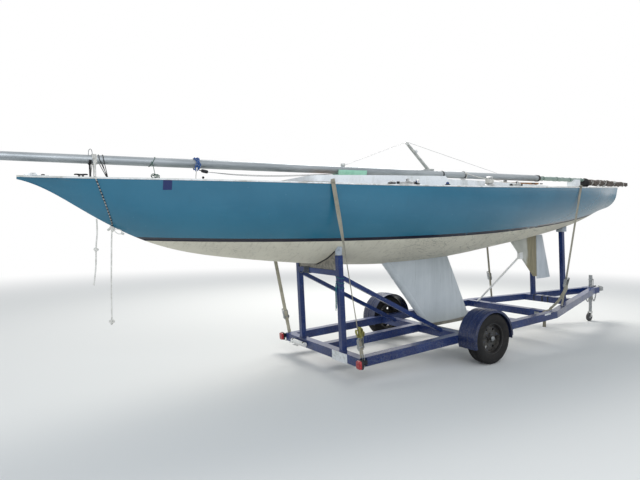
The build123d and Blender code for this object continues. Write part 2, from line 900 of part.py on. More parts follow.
with BuildPart() as front_posts:
    for hand in hands:
        y = hand * front_post_y
        tube(rig, (front_bar_x, y, frame_top), (front_bar_x, y, frame_top + front_post_rise), post_size, post_wall)
finish(front_posts.part, "front_posts")

with BuildPart() as hull_pads:
    for hand in hands:
        for x, y, rise, size in [
            (rear_post_x, hand * rear_post_y, rear_post_rise, post_size),
            (front_bar_x, hand * front_post_y, front_post_rise, front_pad_size),
        ]:
            with Locations(level(rig, frame_top + rise, x=x, y=y)):
                Box(size, size, post_pad_reach, align=upward)
    add(hull_form.part, mode=Mode.SUBTRACT)
finish(Part(hull_pads.part.solids().sort_by(SortBy.VOLUME)[-4:]), "hull_pads")

# Stern pole from the bend crossbar up to the skeg's leading edge
with BuildPart() as stern_pole:
    foot = Vector(*rig.from_local_coords((bend_bar_x, pole_foot_y, frame_top)))
    top = Vector(*boat.from_local_coords((pole_top_x, 0, pole_top_z)))
    run = Plane(foot, z_dir=top - foot)
    with BuildSketch(run) as ring:
        Circle(pole_radius)
    extrude(ring.sketch, amount=(top - foot).length)
    with Locations(Plane(top, x_dir=boat.x_dir, z_dir=boat.z_dir)):
        Box(pole_cap_width, pole_cap_width * 0.8, pole_cap_length)
    add(skeg.part, mode=Mode.SUBTRACT)
    with Locations(level(rig, mid_z, x=bend_bar_x)):
        Box(tube_size, 2 * rail_inner, tube_size, mode=Mode.SUBTRACT)
finish(stern_pole.part.solids().sort_by(SortBy.VOLUME)[-1], "stern_pole")

# Axle, arms, wheels and fenders
axle_at = Vector(*ground.from_local_coords((axle_x, 0, tyre_radius)))
arm_inner = rail_outer + 4
beam_z = frame_top - tube_size - axle_tube / 2


def across(hand, y):
    """Plane square to the axle, y out from the middle on one side."""
    out = Vector(0, hand, 0)
    return Plane(axle_at + out * y, x_dir=(1, 0, 0), z_dir=out)


beam_at = Vector(*rig.from_local_coords((axle_x + arm_reach, 0, beam_z)))
with BuildPart() as axle_beam:
    start, end = [(axle_x + arm_reach, hand * arm_inner, beam_z) for hand in hands]
    tube(rig, start, end, axle_tube, axle_wall)
    for hand in hands:
        web_plane = across(hand, arm_inner)
        eye = web_plane.to_local_coords(beam_at + Vector(0, hand * arm_inner, 0))
        with BuildSketch(web_plane) as web:
            with Locations((eye.X / 2, eye.Y / 2)):
                slope = math.degrees(math.atan2(eye.Y, eye.X))
                SlotCenterToCenter(math.hypot(eye.X, eye.Y), arm_height, rotation=slope)
        extrude(web.sketch, amount=arm_thick)
        with BuildSketch(across(hand, arm_inner + arm_thick)) as pin:
            Circle(spindle_radius)
        extrude(pin.sketch, amount=hub_inner_y - arm_inner - arm_thick + spindle_reach)
finish(axle_beam.part, "axle_beam")

for hand_name, hand in [("port", -1), ("starboard", 1)]:
    out = Vector(0, hand, 0)
    tyre_mid = tyre_face_y - tyre_width / 2
    with BuildPart() as tyre:
        half = tyre_width / 2
        wheel_plane = Plane(axle_at + out * tyre_mid, x_dir=out, z_dir=Vector(0, 0, 1).cross(out) * -1)
        with BuildSketch(wheel_plane) as wall_section:
            with BuildLine():
                Polyline((tyre_bead / 2, rim_radius), (-tyre_bead / 2, rim_radius))
                shoulder = half - tyre_shoulder * 0.7
                for flip in (-1, 1):
                    ThreePointArc(
                        (flip * tyre_bead / 2, rim_radius),
                        (flip * half, (rim_radius + tyre_radius) / 2),
                        (flip * (half - 8), tyre_radius - tyre_shoulder),
                    )
                    ThreePointArc(
                        (flip * (half - 8), tyre_radius - tyre_shoulder),
                        (flip * (half - 14), tyre_radius - 12),
                        (flip * shoulder, tyre_radius - 3),
                    )
                ThreePointArc((-shoulder, tyre_radius - 3), (0, tyre_radius), (shoulder, tyre_radius - 3))
            make_face()
        revolve(wall_section.sketch, axis=Axis(axle_at, (0, 1, 0)))
    finish(tyre.part, f"tyre_{hand_name}")

    with BuildPart() as rim:
        hub_out = tyre_face_y - 22
        with BuildSketch(Plane(axle_at, x_dir=out, z_dir=wheel_plane.z_dir)) as dish:
            with BuildLine():
                lip = rim_width / 2
                Polyline(
                    (hub_inner_y, spindle_radius + spindle_clearance),
                    (hub_inner_y, hub_radius),
                    (tyre_mid + 12, hub_radius),
                    (tyre_mid + 12, rim_radius - rim_thick - 30),
                    (tyre_mid - lip, rim_radius - rim_thick - 14),
                    (tyre_mid - lip, rim_radius),
                    (tyre_mid + lip, rim_radius),
                    (tyre_mid + lip, rim_radius - rim_thick),
                    (tyre_mid + 12 + rim_disc, rim_radius - rim_thick - 24),
                    (tyre_mid + 12 + rim_disc, hub_radius),
                    (hub_out - 30, hub_radius),
                    (hub_out - 30, cap_radius),
                    (hub_out, cap_radius * 0.8),
                    (hub_out, 0),
                    (hub_inner_y + 80, 0),
                    (hub_inner_y + 80, spindle_radius + spindle_clearance),
                    close=True,
                )
            make_face()
        revolve(dish.sketch, axis=Axis(axle_at, (0, 1, 0)))
        with BuildSketch(across(hand, tyre_mid)) as hand_holes:
            with PolarLocations(rim_hole_circle, rim_holes):
                Circle(rim_hole_radius)
        extrude(hand_holes.sketch, amount=rim_width / 2, mode=Mode.SUBTRACT)
    finish(rim.part, f"rim_{hand_name}")

    with BuildPart() as fender:
        inner_r = tyre_radius + fender_gap
        start = math.radians(fender_front_angle)
        radial = Vector(math.cos(start), 0, math.sin(start))
        with BuildSketch(Plane(axle_at, x_dir=out, z_dir=out.cross(radial))) as lip_section:
            with BuildLine():
                outer_r = inner_r + fender_thick
                edge = FilletPolyline(
                    (rail_outer, outer_r), (fender_outer_y, outer_r), (fender_outer_y, outer_r - fender_round - 4),
                    radius=fender_round,
                )
                inner_edge = FilletPolyline(
                    (rail_outer, inner_r), (fender_outer_y - fender_thick, inner_r),
                    (fender_outer_y - fender_thick, outer_r - fender_round - 4),
                    radius=fender_round - fender_thick,
                )
                Line(edge @ 0, inner_edge @ 0)
                Line(edge @ 1, inner_edge @ 1)
            make_face()
        revolve(lip_section.sketch, axis=Axis(axle_at, (0, -1, 0)),
                revolution_arc=fender_rear_angle - fender_front_angle)
    finish(fender.part, f"fender_{hand_name}")

# Tongue head, jack and coupler
head_x_mid = tongue_x + head_length / 2
jack_x = pitched_x(head_x_mid, mid_z, trailer_pitch)
with BuildPart() as tongue_head:
    with Locations(level(rig, mid_z, x=head_x_mid)):
        Box(head_length, 2 * tongue_half + tube_size, tube_size)
    with Locations(level(ground, 0, x=jack_x)):
        Cylinder(sleeve_outer / 2, through, align=upward, mode=Mode.SUBTRACT)
finish(tongue_head.part, "tongue_head")

with BuildPart() as jack_sleeve:
    with Locations(level(ground, sleeve_low_z, x=jack_x)):
        Cylinder(sleeve_outer / 2, sleeve_top_z - sleeve_low_z, align=upward)
        Cylinder(sleeve_outer / 2 - sleeve_wall, sleeve_top_z - sleeve_low_z, align=upward, mode=Mode.SUBTRACT)
    with Locations(level(ground, sleeve_top_z, x=jack_x)):
        Cylinder(sleeve_outer / 2, sleeve_cap, align=upward)
finish(jack_sleeve.part, "jack_sleeve")

with BuildPart() as jack_leg:
    with Locations(level(ground, leg_low_z, x=jack_x)):
        Cylinder(leg_outer / 2, leg_top_z - leg_low_z, align=upward)
        Cylinder(leg_outer / 2 - leg_wall, leg_top_z - leg_low_z, align=upward, mode=Mode.SUBTRACT)
        Cylinder(leg_outer / 2, swivel_plate, align=upward)
finish(jack_leg.part, "jack_leg")

fork_half = caster_width / 2 + fork_gap
caster_x = jack_x - caster_trail
with BuildPart() as caster_fork:
    crown_top = leg_low_z - seat_gap
    with Locations(level(ground, crown_top, x=jack_x)):
        Cylinder(fork_half + fork_plate, fork_crown, align=(Align.CENTER, Align.CENTER, Align.MAX))
    for flip in (-1, 1):
        with BuildSketch(side(ground, flip * (fork_half + fork_plate / 2))) as cheek:
            with BuildLine():
                Polyline(
                    (jack_x + 26, crown_top),
                    (jack_x - 30, crown_top),
                    (caster_x - 14, caster_radius - 14),
                    (caster_x + 14, caster_radius - 14),
                    close=True,
                )
            make_face()
        extrude(cheek.sketch, amount=fork_plate / 2, both=True)
    with Locations(side(ground, 0, x=caster_x, z=caster_radius)):
        Cylinder(caster_axle_radius, 2 * fork_half + 2 * fork_plate)
finish(caster_fork.part, "caster_fork")

with BuildPart() as caster_wheel:
    with Locations(side(ground, 0, x=caster_x, z=caster_radius)):
        Cylinder(caster_radius, caster_width)
        Cylinder(caster_axle_radius + 0.5, caster_width, mode=Mode.SUBTRACT)
    fillet(caster_wheel.part.edges().filter_by(GeomType.CIRCLE).group_by(SortBy.RADIUS)[-1], radius=8)
finish(caster_wheel.part, "caster_wheel")

with BuildPart() as jack_crank:
    with Locations(level(ground, crank_z, x=jack_x + sleeve_outer / 2)):
        Box(crank_shaft, crank_bar, crank_bar, align=(Align.MIN, Align.CENTER, Align.CENTER))
    with Locations(level(ground, crank_z + crank_bar / 2, x=jack_x + sleeve_outer / 2 + crank_shaft)):
        Box(crank_bar, crank_bar, crank_reach, align=(Align.MIN, Align.CENTER, Align.MAX))
    with Locations(level(ground, crank_z + crank_bar / 2 - crank_reach, x=jack_x + sleeve_outer / 2 + crank_shaft)):
        Box(crank_handle, crank_bar * 1.6, crank_bar * 1.6, align=(Align.MIN, Align.CENTER, Align.MAX))
    with Locations(level(ground, 0, x=jack_x)):
        Cylinder(sleeve_outer / 2, through, align=upward, mode=Mode.SUBTRACT)
finish(jack_crank.part, "jack_crank")

with BuildPart() as coupler:
    start = tongue_x + head_length
    with Locations(level(rig, frame_top - tube_size + coupler_height / 2, x=start)):
        Box(coupler_length, coupler_width, coupler_height, align=(Align.MIN, Align.CENTER, Align.CENTER))
    with Locations(level(rig, frame_top - tube_size + coupler_height / 2, x=start + coupler_length)):
        Cylinder(coupler_width / 2, coupler_height)
    with Locations(level(rig, frame_top - tube_size, x=start + coupler_length)):
        Cylinder(ball_socket / 2, 44, align=upward, mode=Mode.SUBTRACT)
finish(coupler.part, "coupler")

with BuildPart() as tail_lights:
    for hand in hands:
        with BuildSketch(side(rig, hand * rail_outer)) as arm:
            with Locations((rear_bar_x + tube_size / 2, mid_z)):
                Rectangle(tube_size, tube_size)
        extrude(arm.sketch, amount=-hand * light_arm)
        light_y = hand * (rail_outer + light_arm + light_width / 2)
        with Locations(level(rig, mid_z, x=rear_bar_x, y=light_y)):
            Box(2 * light_depth, light_width, light_height)
finish(tail_lights.part, "tail_lights")

with BuildPart() as prop_tube:
    prop_x = rear_bar_x - prop_radius - prop_ear
    with Locations(Plane(rig.from_local_coords((prop_x, prop_y, mid_z)), x_dir=rig.x_dir, z_dir=rig.y_dir)):
        Cylinder(prop_radius, prop_length)
    for shift in (-0.3, 0.3):
        with Locations(level(rig, mid_z, x=rear_bar_x, y=prop_y + shift * prop_length)):
            Box(prop_ear + prop_radius, prop_ear, prop_radius, align=(Align.MAX, Align.CENTER, Align.CENTER))
finish(prop_tube.part, "prop_tube")


def strap(foot_x, foot_z, foot_half, edge_x, middle_x, lift):
    """Webbing from the trailer up each side to the deck's edge, then aslant over the deck past the coaming."""
    edge_half = table_value(edge_x, 1) + strap_out
    top_z = table_value(edge_x, 2) + deck_thickness + lift
    base = boat.from_local_coords((foot_x, 0, foot_z))
    up = boat.from_local_coords((edge_x, 0, top_z)) - base
    top = up.length + strap_thick
    with BuildPart() as band:
        loft([
            deck_section(x, half + 2 * strap_out, edge + lift + strap_thick,
                         strap_thick + hull_rise + seat_gap - deck_thickness)
            for x, half, edge in [row[:3] for row in hull_sections]
        ])
        route = [(edge_x, edge_half + strap_thick), (middle_x, coaming_front_half / 2)]
        route += [(x, -y) for x, y in reversed(route)]
        with BuildSketch(level(boat, sole_z)) as plan:
            with BuildLine():
                ahead = [(x - strap_width / 2, y) for x, y in route]
                behind = [(x + strap_width / 2, y) for x, y in route]
                Polyline(*ahead, *reversed(behind), close=True)
            make_face()
        extrude(plan.sketch, amount=through, mode=Mode.INTERSECT)
    with BuildPart() as web:
        for hand in hands:
            with BuildSketch(Plane(base, x_dir=boat.y_dir, z_dir=boat.y_dir.cross(up))) as leg:
                with BuildLine():
                    Polyline(
                        (hand * foot_half, -10),
                        (hand * (foot_half + strap_thick), -10),
                        (hand * (edge_half + strap_thick), top),
                        (hand * edge_half, top),
                        close=True,
                    )
                make_face()
            extrude(leg.sketch, amount=strap_width / 2, both=True)
        with Locations(Plane(base, x_dir=rig.x_dir, z_dir=rig.z_dir)):
            Box(400, through, 200, align=(Align.CENTER, Align.CENTER, Align.MAX), mode=Mode.SUBTRACT)
        add(band.part)
    return web.part


finish(strap(
    bow_strap_foot_x, bow_strap_foot_z, bow_strap_foot_half,
    bow_strap_x, coaming_front - bow_strap_setback, bow_strap_lift,
), "bow_strap")
finish(strap(
    stern_strap_foot_x, stern_strap_foot_z, stern_strap_foot_half,
    stern_strap_x, coaming_aft + stern_strap_setback, stern_strap_lift,
), "stern_strap")
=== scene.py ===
import json
import math

import bmesh
import bpy
import numpy as np
from mathutils import Matrix, Vector


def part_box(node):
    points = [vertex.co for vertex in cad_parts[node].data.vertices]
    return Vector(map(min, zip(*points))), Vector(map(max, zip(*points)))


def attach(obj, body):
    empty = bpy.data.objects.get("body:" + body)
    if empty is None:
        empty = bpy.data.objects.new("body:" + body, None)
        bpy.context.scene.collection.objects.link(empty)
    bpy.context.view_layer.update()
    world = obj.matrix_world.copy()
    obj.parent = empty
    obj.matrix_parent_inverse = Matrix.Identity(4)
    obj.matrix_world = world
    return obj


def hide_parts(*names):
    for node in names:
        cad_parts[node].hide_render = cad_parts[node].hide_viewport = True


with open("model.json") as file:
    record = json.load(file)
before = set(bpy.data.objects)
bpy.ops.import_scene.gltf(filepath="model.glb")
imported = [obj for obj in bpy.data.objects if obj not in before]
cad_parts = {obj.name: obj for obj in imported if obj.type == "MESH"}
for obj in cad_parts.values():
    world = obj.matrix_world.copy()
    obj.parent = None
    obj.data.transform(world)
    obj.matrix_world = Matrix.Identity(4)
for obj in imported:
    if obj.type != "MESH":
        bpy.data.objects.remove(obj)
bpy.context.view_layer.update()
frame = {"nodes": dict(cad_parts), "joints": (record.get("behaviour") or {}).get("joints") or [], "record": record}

# Stance, camera and light
# A racing keelboat chocked on a single-axle road trailer. The boat is pitched bow down and the
# trailer tongue high, both about the line on the ground under the axle. Distances aft count from
# the stem head, in metres.
joint_at = {joint["name"]: np.array(joint["pos_m"]) for joint in frame["joints"]}
mount_axis = {mount["name"]: np.array(mount["axis"]) for mount in frame["record"]["mounts"]}
axle_foot = np.array([joint_at["wheel_port_spin"][0], 0.0, 0.0])
axle_aft = 4.912
boat_up = mount_axis["mast_partner_hole"]
rig_up = -mount_axis["coupler_socket"]
starboard = np.array([0.0, 1.0, 0.0])
plumb = np.array([0.0, 0.0, 1.0])


def aft(up):
    """Unit vector aft in a pitched frame: its upward axis turned a quarter about the beam."""
    return np.array([up[2], 0.0, -up[0]])


boat_aft, rig_aft = aft(boat_up), aft(rig_up)


def pitched(up, points):
    """Points given aft, to starboard and above a frame's base, as the axle's foot plus each
    distance along its own axis."""
    points = np.asarray(points, float)
    return (
        axle_foot
        + (points[..., :1] - axle_aft) * aft(up)
        + points[..., 1:2] * starboard
        + points[..., 2:3] * up
    )


def boat(points):
    """Points of the boat's own frame in the shared frame."""
    return pitched(boat_up, points)


def rig(points):
    """Points of the trailer's own frame in the shared frame."""
    return pitched(rig_up, points)


yaw, dip, roll = 0.564, 0.013, -0.002
ahead = Vector((math.sin(yaw) * math.cos(dip), math.cos(yaw) * math.cos(dip), -math.sin(dip)))
level_right = Vector((math.cos(yaw), -math.sin(yaw), 0))
level_down = ahead.cross(level_right)
right = math.cos(roll) * level_right + math.sin(roll) * level_down
down = math.cos(roll) * level_down - math.sin(roll) * level_right
camera = bpy.data.objects.new("camera", bpy.data.cameras.new("camera"))
camera.data.sensor_width = 36
camera.data.lens = 27.77
camera.data.clip_end = 300
facing = Matrix((right, -down, -ahead)).transposed().to_4x4()
camera.matrix_world = Matrix.Translation((-4.782, -5.084, 1.617)) @ facing
bpy.context.scene.collection.objects.link(camera)
bpy.context.scene.camera = camera
bpy.context.scene.view_settings.view_transform = "Standard"


def lamp(name, at, target, size, watts, colour):
    """A square area lamp turned so that its face looks at the target."""
    light = bpy.data.objects.new(name, bpy.data.lights.new(name, "AREA"))
    light.data.size = size
    light.data.energy = watts
    light.data.color = colour
    facing = (Vector(target) - Vector(at)).to_track_quat("-Z", "Y")
    light.matrix_world = Matrix.Translation(at) @ facing.to_matrix().to_4x4()
    bpy.context.scene.collection.objects.link(light)


lamp("high_soft", (3.5, 5.0, 8.5), (0, 0, 1.4), 6.0, 900, (1.0, 0.97, 0.92))
lamp("port_fill", (-5.5, -8.5, 5.5), (0, 0, 1.3), 7.0, 420, (0.93, 0.96, 1.0))


def linear(hex_colour):
    """Linear colour of a written sRGB one: each channel's power curve undone."""
    channels = [int(hex_colour[i:i + 2], 16) / 255 for i in (0, 2, 4)]
    return (*[c / 12.92 if c < 0.04045 else ((c + 0.055) / 1.055) ** 2.4 for c in channels], 1.0)


class Wire:
    """A shader socket on which sums are written: each operator adds its Math node."""

    def __init__(self, finish, socket):
        self.finish = finish
        self.socket = socket

    def sum(self, operation, *others):
        return self.finish.node("ShaderNodeMath", {"operation": operation}, dict(enumerate(others)))

    def __add__(self, other):
        return self.sum("ADD", self, other)

    def __radd__(self, other):
        return self.sum("ADD", other, self)

    def __sub__(self, other):
        return self.sum("SUBTRACT", self, other)

    def __rsub__(self, other):
        return self.sum("SUBTRACT", other, self)

    def __mul__(self, other):
        return self.sum("MULTIPLY", self, other)

    def __rmul__(self, other):
        return self.sum("MULTIPLY", other, self)

    def __abs__(self):
        return self.sum("ABSOLUTE", self)

    def sine(self):
        return self.sum("SINE", self)

    def largest(self, other):
        return self.sum("MAXIMUM", self, other)


class Finish:
    """One procedural surface: a Principled shader and the nodes that feed it."""

    def __init__(self, name, **fixed):
        self.material = bpy.data.materials.new(name)
        self.material.use_nodes = True
        self.tree = self.material.node_tree
        self.tree.nodes.clear()
        self.output = self.tree.nodes.new("ShaderNodeOutputMaterial")
        self.shader = self.tree.nodes.new("ShaderNodeBsdfPrincipled")
        self.tree.links.new(self.shader.outputs[0], self.output.inputs[0])
        self.feed(**fixed)
        self.place = self.node("ShaderNodeTexCoord", out="Object")
        self.x = self.node("ShaderNodeSeparateXYZ", {}, {"Vector": self.place}, "X")
        split = self.x.socket.node
        self.y = Wire(self, split.outputs["Y"])
        self.z = Wire(self, split.outputs["Z"])

    def node(self, kind, settings=None, sockets=None, out=0):
        """Any shader node: its settings first, then its sockets' values or links."""
        made = self.tree.nodes.new(kind)
        for setting, value in (settings or {}).items():
            setattr(made, setting, value)
        for socket, value in (sockets or {}).items():
            if isinstance(value, Wire):
                self.tree.links.new(value.socket, made.inputs[socket])
            else:
                made.inputs[socket].default_value = value
        return Wire(self, made.outputs[out])

    def feed(self, **links):
        """Link wires, or set values, on the shader's own sockets."""
        for socket, value in links.items():
            target = self.shader.inputs[socket.replace("_", " ").title().replace("Ior", "IOR")]
            if isinstance(value, Wire):
                self.tree.links.new(value.socket, target)
            else:
                target.default_value = value

    def noise(self, scale, detail=3.0, rough=0.5, at=None, warp=0.0):
        """Fractal noise, 0 to 1, scale cycles to the metre."""
        sockets = {"Vector": at or self.place, "Scale": scale, "Detail": detail,
                   "Roughness": rough, "Distortion": warp}
        return self.node("ShaderNodeTexNoise", {}, sockets)

    def cells(self, scale, at=None):
        """Distance to the nearest of scattered points."""
        return self.node("ShaderNodeTexVoronoi", {}, {"Vector": at or self.place, "Scale": scale})

    def scaled(self, x, y, z):
        """The pattern's place, multiplied along each axis."""
        return self.node("ShaderNodeMapping", {}, {"Vector": self.place, "Scale": (x, y, z)})

    def step(self, value, low, high, to_low=0.0, to_high=1.0):
        """Smooth step of a value from low to high; low may be the larger."""
        rising = low < high
        sockets = {0: value, 1: low if rising else high, 2: high if rising else low,
                   3: to_low if rising else to_high, 4: to_high if rising else to_low}
        return self.node("ShaderNodeMapRange", {"interpolation_type": "SMOOTHSTEP"}, sockets)

    def mix(self, factor, first, second):
        """Blend of two colours, written in hex or wired."""
        first, second = [linear(c) if isinstance(c, str) else c for c in (first, second)]
        return self.node("ShaderNodeMix", {"data_type": "RGBA"}, {0: factor, 6: first, 7: second}, 2)

    def bump(self, height, depth, under=None):
        """Normal tilted by a height of so many metres, over another normal when given."""
        sockets = {"Height": height, "Distance": depth, "Strength": 1.0}
        if under:
            sockets["Normal"] = under
        return self.node("ShaderNodeBump", {}, sockets)


def mottled(name, main, worn, noise, steps, rough, relief, stretch=(1, 1, 1), grain=None, **fixed):
    """A plain stuff, blended to its worn colour and rougher where noise is high, and raised by that
    noise, or by a finer grain when one is given."""
    made = Finish(name, **fixed)
    wear = made.noise(*noise, made.scaled(*stretch))
    made.feed(base_color=made.mix(made.step(wear, *steps), main, worn))
    raised = made.noise(grain, 3.0) if grain else wear
    made.feed(roughness=wear * rough[0] + rough[1], normal=made.bump(raised, relief))
    return made


# The floor turns to a plain glow where it is far off, so that it meets the backdrop unseen.
floor_finish = Finish("pale_floor", roughness=0.9)
radius = floor_finish.node("ShaderNodeVectorMath", {"operation": "LENGTH"}, {0: floor_finish.place}, "Value")
floor_finish.feed(base_color=linear("DCDCDA"))
glow = floor_finish.node("ShaderNodeEmission", {}, {"Color": (1, 1, 1, 1), "Strength": 1.0})
seen = floor_finish.node("ShaderNodeLightPath", out="Is Camera Ray")
far_off = floor_finish.step(radius, 8.0, 18.0) * seen
surface = floor_finish.node(
    "ShaderNodeMixShader", {},
    {0: far_off, 1: Wire(floor_finish, floor_finish.shader.outputs[0]), 2: glow},
)
floor_finish.tree.links.new(surface.socket, floor_finish.output.inputs[0])

world = bpy.data.worlds.new("studio")
bpy.context.scene.world = world
world.use_nodes = True
world_tree = world.node_tree
world_tree.nodes.clear()
path, shown, through, plain, bright, either, world_out = [
    world_tree.nodes.new("ShaderNode" + kind)
    for kind in ("LightPath", "Math", "Math", "Background", "Background", "MixShader", "OutputWorld")
]
shown.operation = through.operation = "MAXIMUM"
plain.inputs["Color"].default_value = (0.86, 0.93, 1.0, 1)
plain.inputs["Strength"].default_value = 0.62
bright.inputs["Color"].default_value = (1, 1, 1, 1)
for source, target in (
    (path.outputs["Is Camera Ray"], shown.inputs[0]), (path.outputs["Is Glossy Ray"], shown.inputs[1]),
    (shown.outputs[0], through.inputs[0]), (path.outputs["Is Transmission Ray"], through.inputs[1]),
    (through.outputs[0], either.inputs[0]), (plain.outputs[0], either.inputs[1]),
    (bright.outputs[0], either.inputs[2]), (either.outputs[0], world_out.inputs[0]),
):
    world_tree.links.new(source, target)


def round_trip(count):
    """Evenly spaced angles once round, the last a step short of the first."""
    return np.linspace(0, math.tau, count + 1)[:-1]


def sheet(points, around=False, ends=False, ring=False):
    """A grid of points, rows by columns, as faces: quads between neighbours, columns joined round
    when around is set, rows joined round when ring is set, first and last rows capped when ends
    is set. Its map is the mean length run along and across, in metres."""
    rows, columns = points.shape[:2]
    index = np.arange(rows * columns).reshape(rows, columns)
    grid = np.pad(index, ((0, int(ring)), (0, int(around))), mode="wrap")
    corners = [grid[:-1, :-1], grid[1:, :-1], grid[1:, 1:], grid[:-1, 1:]]
    quads = np.stack(corners, axis=-1).reshape(-1, 4)
    wide = points.reshape(-1, 3)[grid]
    u = np.concatenate([[0], np.linalg.norm(np.diff(wide, axis=1), axis=2).mean(0).cumsum()])
    v = np.concatenate([[0], np.linalg.norm(np.diff(wide, axis=0), axis=2).mean(1).cumsum()])
    low, high = np.meshgrid(u[:-1], v[:-1])
    far, top = np.meshgrid(u[1:], v[1:])
    maps = np.stack([low, high, low, top, far, top, far, high], axis=-1).reshape(-1, 2)
    caps = [index[0], index[-1]] if ends else []
    return points.reshape(-1, 3), quads, caps, maps


def piece(name, finish, sheets, replaces=(), crease=38.0, body="boat_and_trailer"):
    """One object of several sheets: doubles merged, faces turned outward, shading smooth except
    over the crease angle."""
    start = np.cumsum([0, *[len(s[0]) for s in sheets]])
    points = np.concatenate([s[0] for s in sheets])
    faces = [q for s, at in zip(sheets, start) for q in (s[1] + at).tolist()]
    faces += [(c + at).tolist() for s, at in zip(sheets, start) for c in s[2]]
    spare = sum(len(c) for s in sheets for c in s[2])
    maps = np.concatenate([*[s[3] for s in sheets], np.zeros((spare, 2))])
    mesh = bpy.data.meshes.new(name)
    mesh.from_pydata(points.tolist(), [], faces)
    layer = mesh.uv_layers.new(name="length")
    layer.data.foreach_set("uv", maps.astype(np.float32).ravel())
    shell = bmesh.new()
    shell.from_mesh(mesh)
    bmesh.ops.remove_doubles(shell, verts=shell.verts, dist=1e-6)
    bmesh.ops.recalc_face_normals(shell, faces=shell.faces)
    shell.to_mesh(mesh)
    shell.free()
    mesh.shade_smooth()
    mesh.set_sharp_from_angle(angle=math.radians(crease))
    mesh.materials.append(finish.material)
    made = bpy.data.objects.new(name, mesh)
    bpy.context.scene.collection.objects.link(made)
    if body:
        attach(made, body)
    if replaces:
        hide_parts(*replaces)
    return made


def unit(vectors):
    """Vectors divided by their lengths."""
    vectors = np.asarray(vectors, float)
    return vectors / np.linalg.norm(vectors, axis=-1, keepdims=True)


def smooth(points, count=48):
    """A rounded line through points: on each gap a cubic, whose slope at a point is half the step
    between that point's neighbours."""
    points = np.asarray(points, float)
    padded = np.concatenate([2 * points[:1] - points[1:2], points, 2 * points[-1:] - points[-2:-1]])
    at = np.linspace(0, len(points) - 1, count)
    gap = np.minimum(at.astype(int), len(points) - 2)
    t = (at - gap)[:, None]
    a, b, c, d = (padded[gap + step] for step in range(4))
    bend = (2 * a - 5 * b + 4 * c - d) * t ** 2 + (3 * b - a - 3 * c + d) * t ** 3
    return (2 * b + (c - a) * t + bend) / 2


def oval(breadth, height, power=2.0, corners=20):
    """Closed outline on which |2x / breadth| and |2y / height|, to a power, add up to one."""
    angle = round_trip(corners) + math.pi / corners
    wave = np.stack([np.cos(angle), np.sin(angle)], axis=1)
    return np.sign(wave) * np.abs(wave) ** (2 / power) * (breadth / 2, height / 2)


def swept(path, outline, up, size=1.0, twist=0.0, ends=True, ring=False):
    """An outline carried along a path: each point is the path's plus the outline's two distances
    along the side, which is square to the path and to the upward line, and along the lift."""
    path = np.asarray(path, float)
    step = np.roll(path, -1, 0) - np.roll(path, 1, 0) if ring else np.gradient(path, axis=0)
    run = unit(step)
    side = unit(np.cross(run, up))
    lift = np.cross(side, run)
    angle = np.broadcast_to(twist, len(path))[:, None]
    scale = np.broadcast_to(size, len(path))[:, None]
    x, y = outline.T
    across = (x * np.cos(angle) - y * np.sin(angle)) * scale
    upward = (x * np.sin(angle) + y * np.cos(angle)) * scale
    points = path[:, None] + across[..., None] * side[:, None] + upward[..., None] * lift[:, None]
    return sheet(points, around=True, ends=ends and not ring, ring=ring)


def round_bar(path, thick, corners, up, **how):
    """A round bar, cord or bead on a path."""
    return swept(path, oval(thick, thick, corners=corners), up, **how)


def block(at, size, along, up, power=9.0, edge=0.0015):
    """A box with eased edges: its outline carried its length along, drawn in by the edge's size at
    both ends."""
    length, breadth, height = size
    steps = np.array([-0.5 * length, edge - 0.5 * length, 0.5 * length - edge, 0.5 * length])
    shrink = 1 - 2 * edge / min(breadth, height) * np.array([1, 0, 0, 1])
    return swept(np.asarray(at) + steps[:, None] * unit(along), oval(breadth, height, power, 24), up, shrink)


def turned(profile, at, axis, corners=32, ring=False):
    """A profile of distances along an axis and radii, turned about that axis."""
    axis = unit(axis)
    side = unit(np.cross(axis, (0.31, 0.17, 0.93)))
    angle = round_trip(corners)[:, None]
    spoke = np.cos(angle) * side + np.sin(angle) * np.cross(axis, side)
    along, radius = np.asarray(profile, float).T
    points = at + along[:, None, None] * axis + radius[:, None, None] * spoke
    return sheet(points, around=True, ends=not ring, ring=ring)


def rod(start, end, radius):
    """A round bar with eased ends."""
    start, end = np.asarray(start, float), np.asarray(end, float)
    length, ease = np.linalg.norm(end - start), radius * 0.25
    profile = [(0, 0), (0, radius - ease), (ease, radius), (length - ease, radius),
               (length, radius - ease), (length, 0)]
    return turned(profile, start, end - start, 14)


def bolt(at, out, radius=0.008):
    """A washer, a six-sided head with eased corners, and the thread's end standing out of it."""
    out = unit(out)
    tall = radius * 1.2
    washer = turned(np.array([(0, 0), (0, 1.5), (0.2, 1.5), (0.2, 0)]) * radius, at, out, 20)
    steps = np.array([radius * 0.15, tall * 0.85, tall])
    head = swept(at + steps[:, None] * out, oval(radius * 2, radius * 2, 2.0, 6), (0.31, 0.17, 0.93),
                 np.array([1.0, 1.0, 0.86]))
    thread = turned([(0, 0), (0, radius * 0.5), (tall * 1.5, radius * 0.5), (tall * 1.65, 0)], at, out, 12)
    return [washer, head, thread]


def met(points, towards, *nodes):
    """Where the ray from each point first meets the named pieces, for each that does."""
    towards = Vector(towards)
    landed = []
    for point in np.asarray(points, float).reshape(-1, 3):
        hits = [frame["nodes"][name].ray_cast(Vector(point), towards) for name in nodes]
        near = sorted([hit[1] for hit in hits if hit[0]], key=lambda at: (at - Vector(point)).length)
        landed += near[:1]
    return np.array(landed)


spread = np.linspace(0.0, 60.0, 25)
turn = round_trip(96)
below_part = 0.0006
disc = np.stack([
    spread[:, None] * np.cos(turn), spread[:, None] * np.sin(turn), 0 * spread[:, None] * turn - below_part,
], axis=-1)
piece("floor", floor_finish, [sheet(disc, around=True)], body=None)

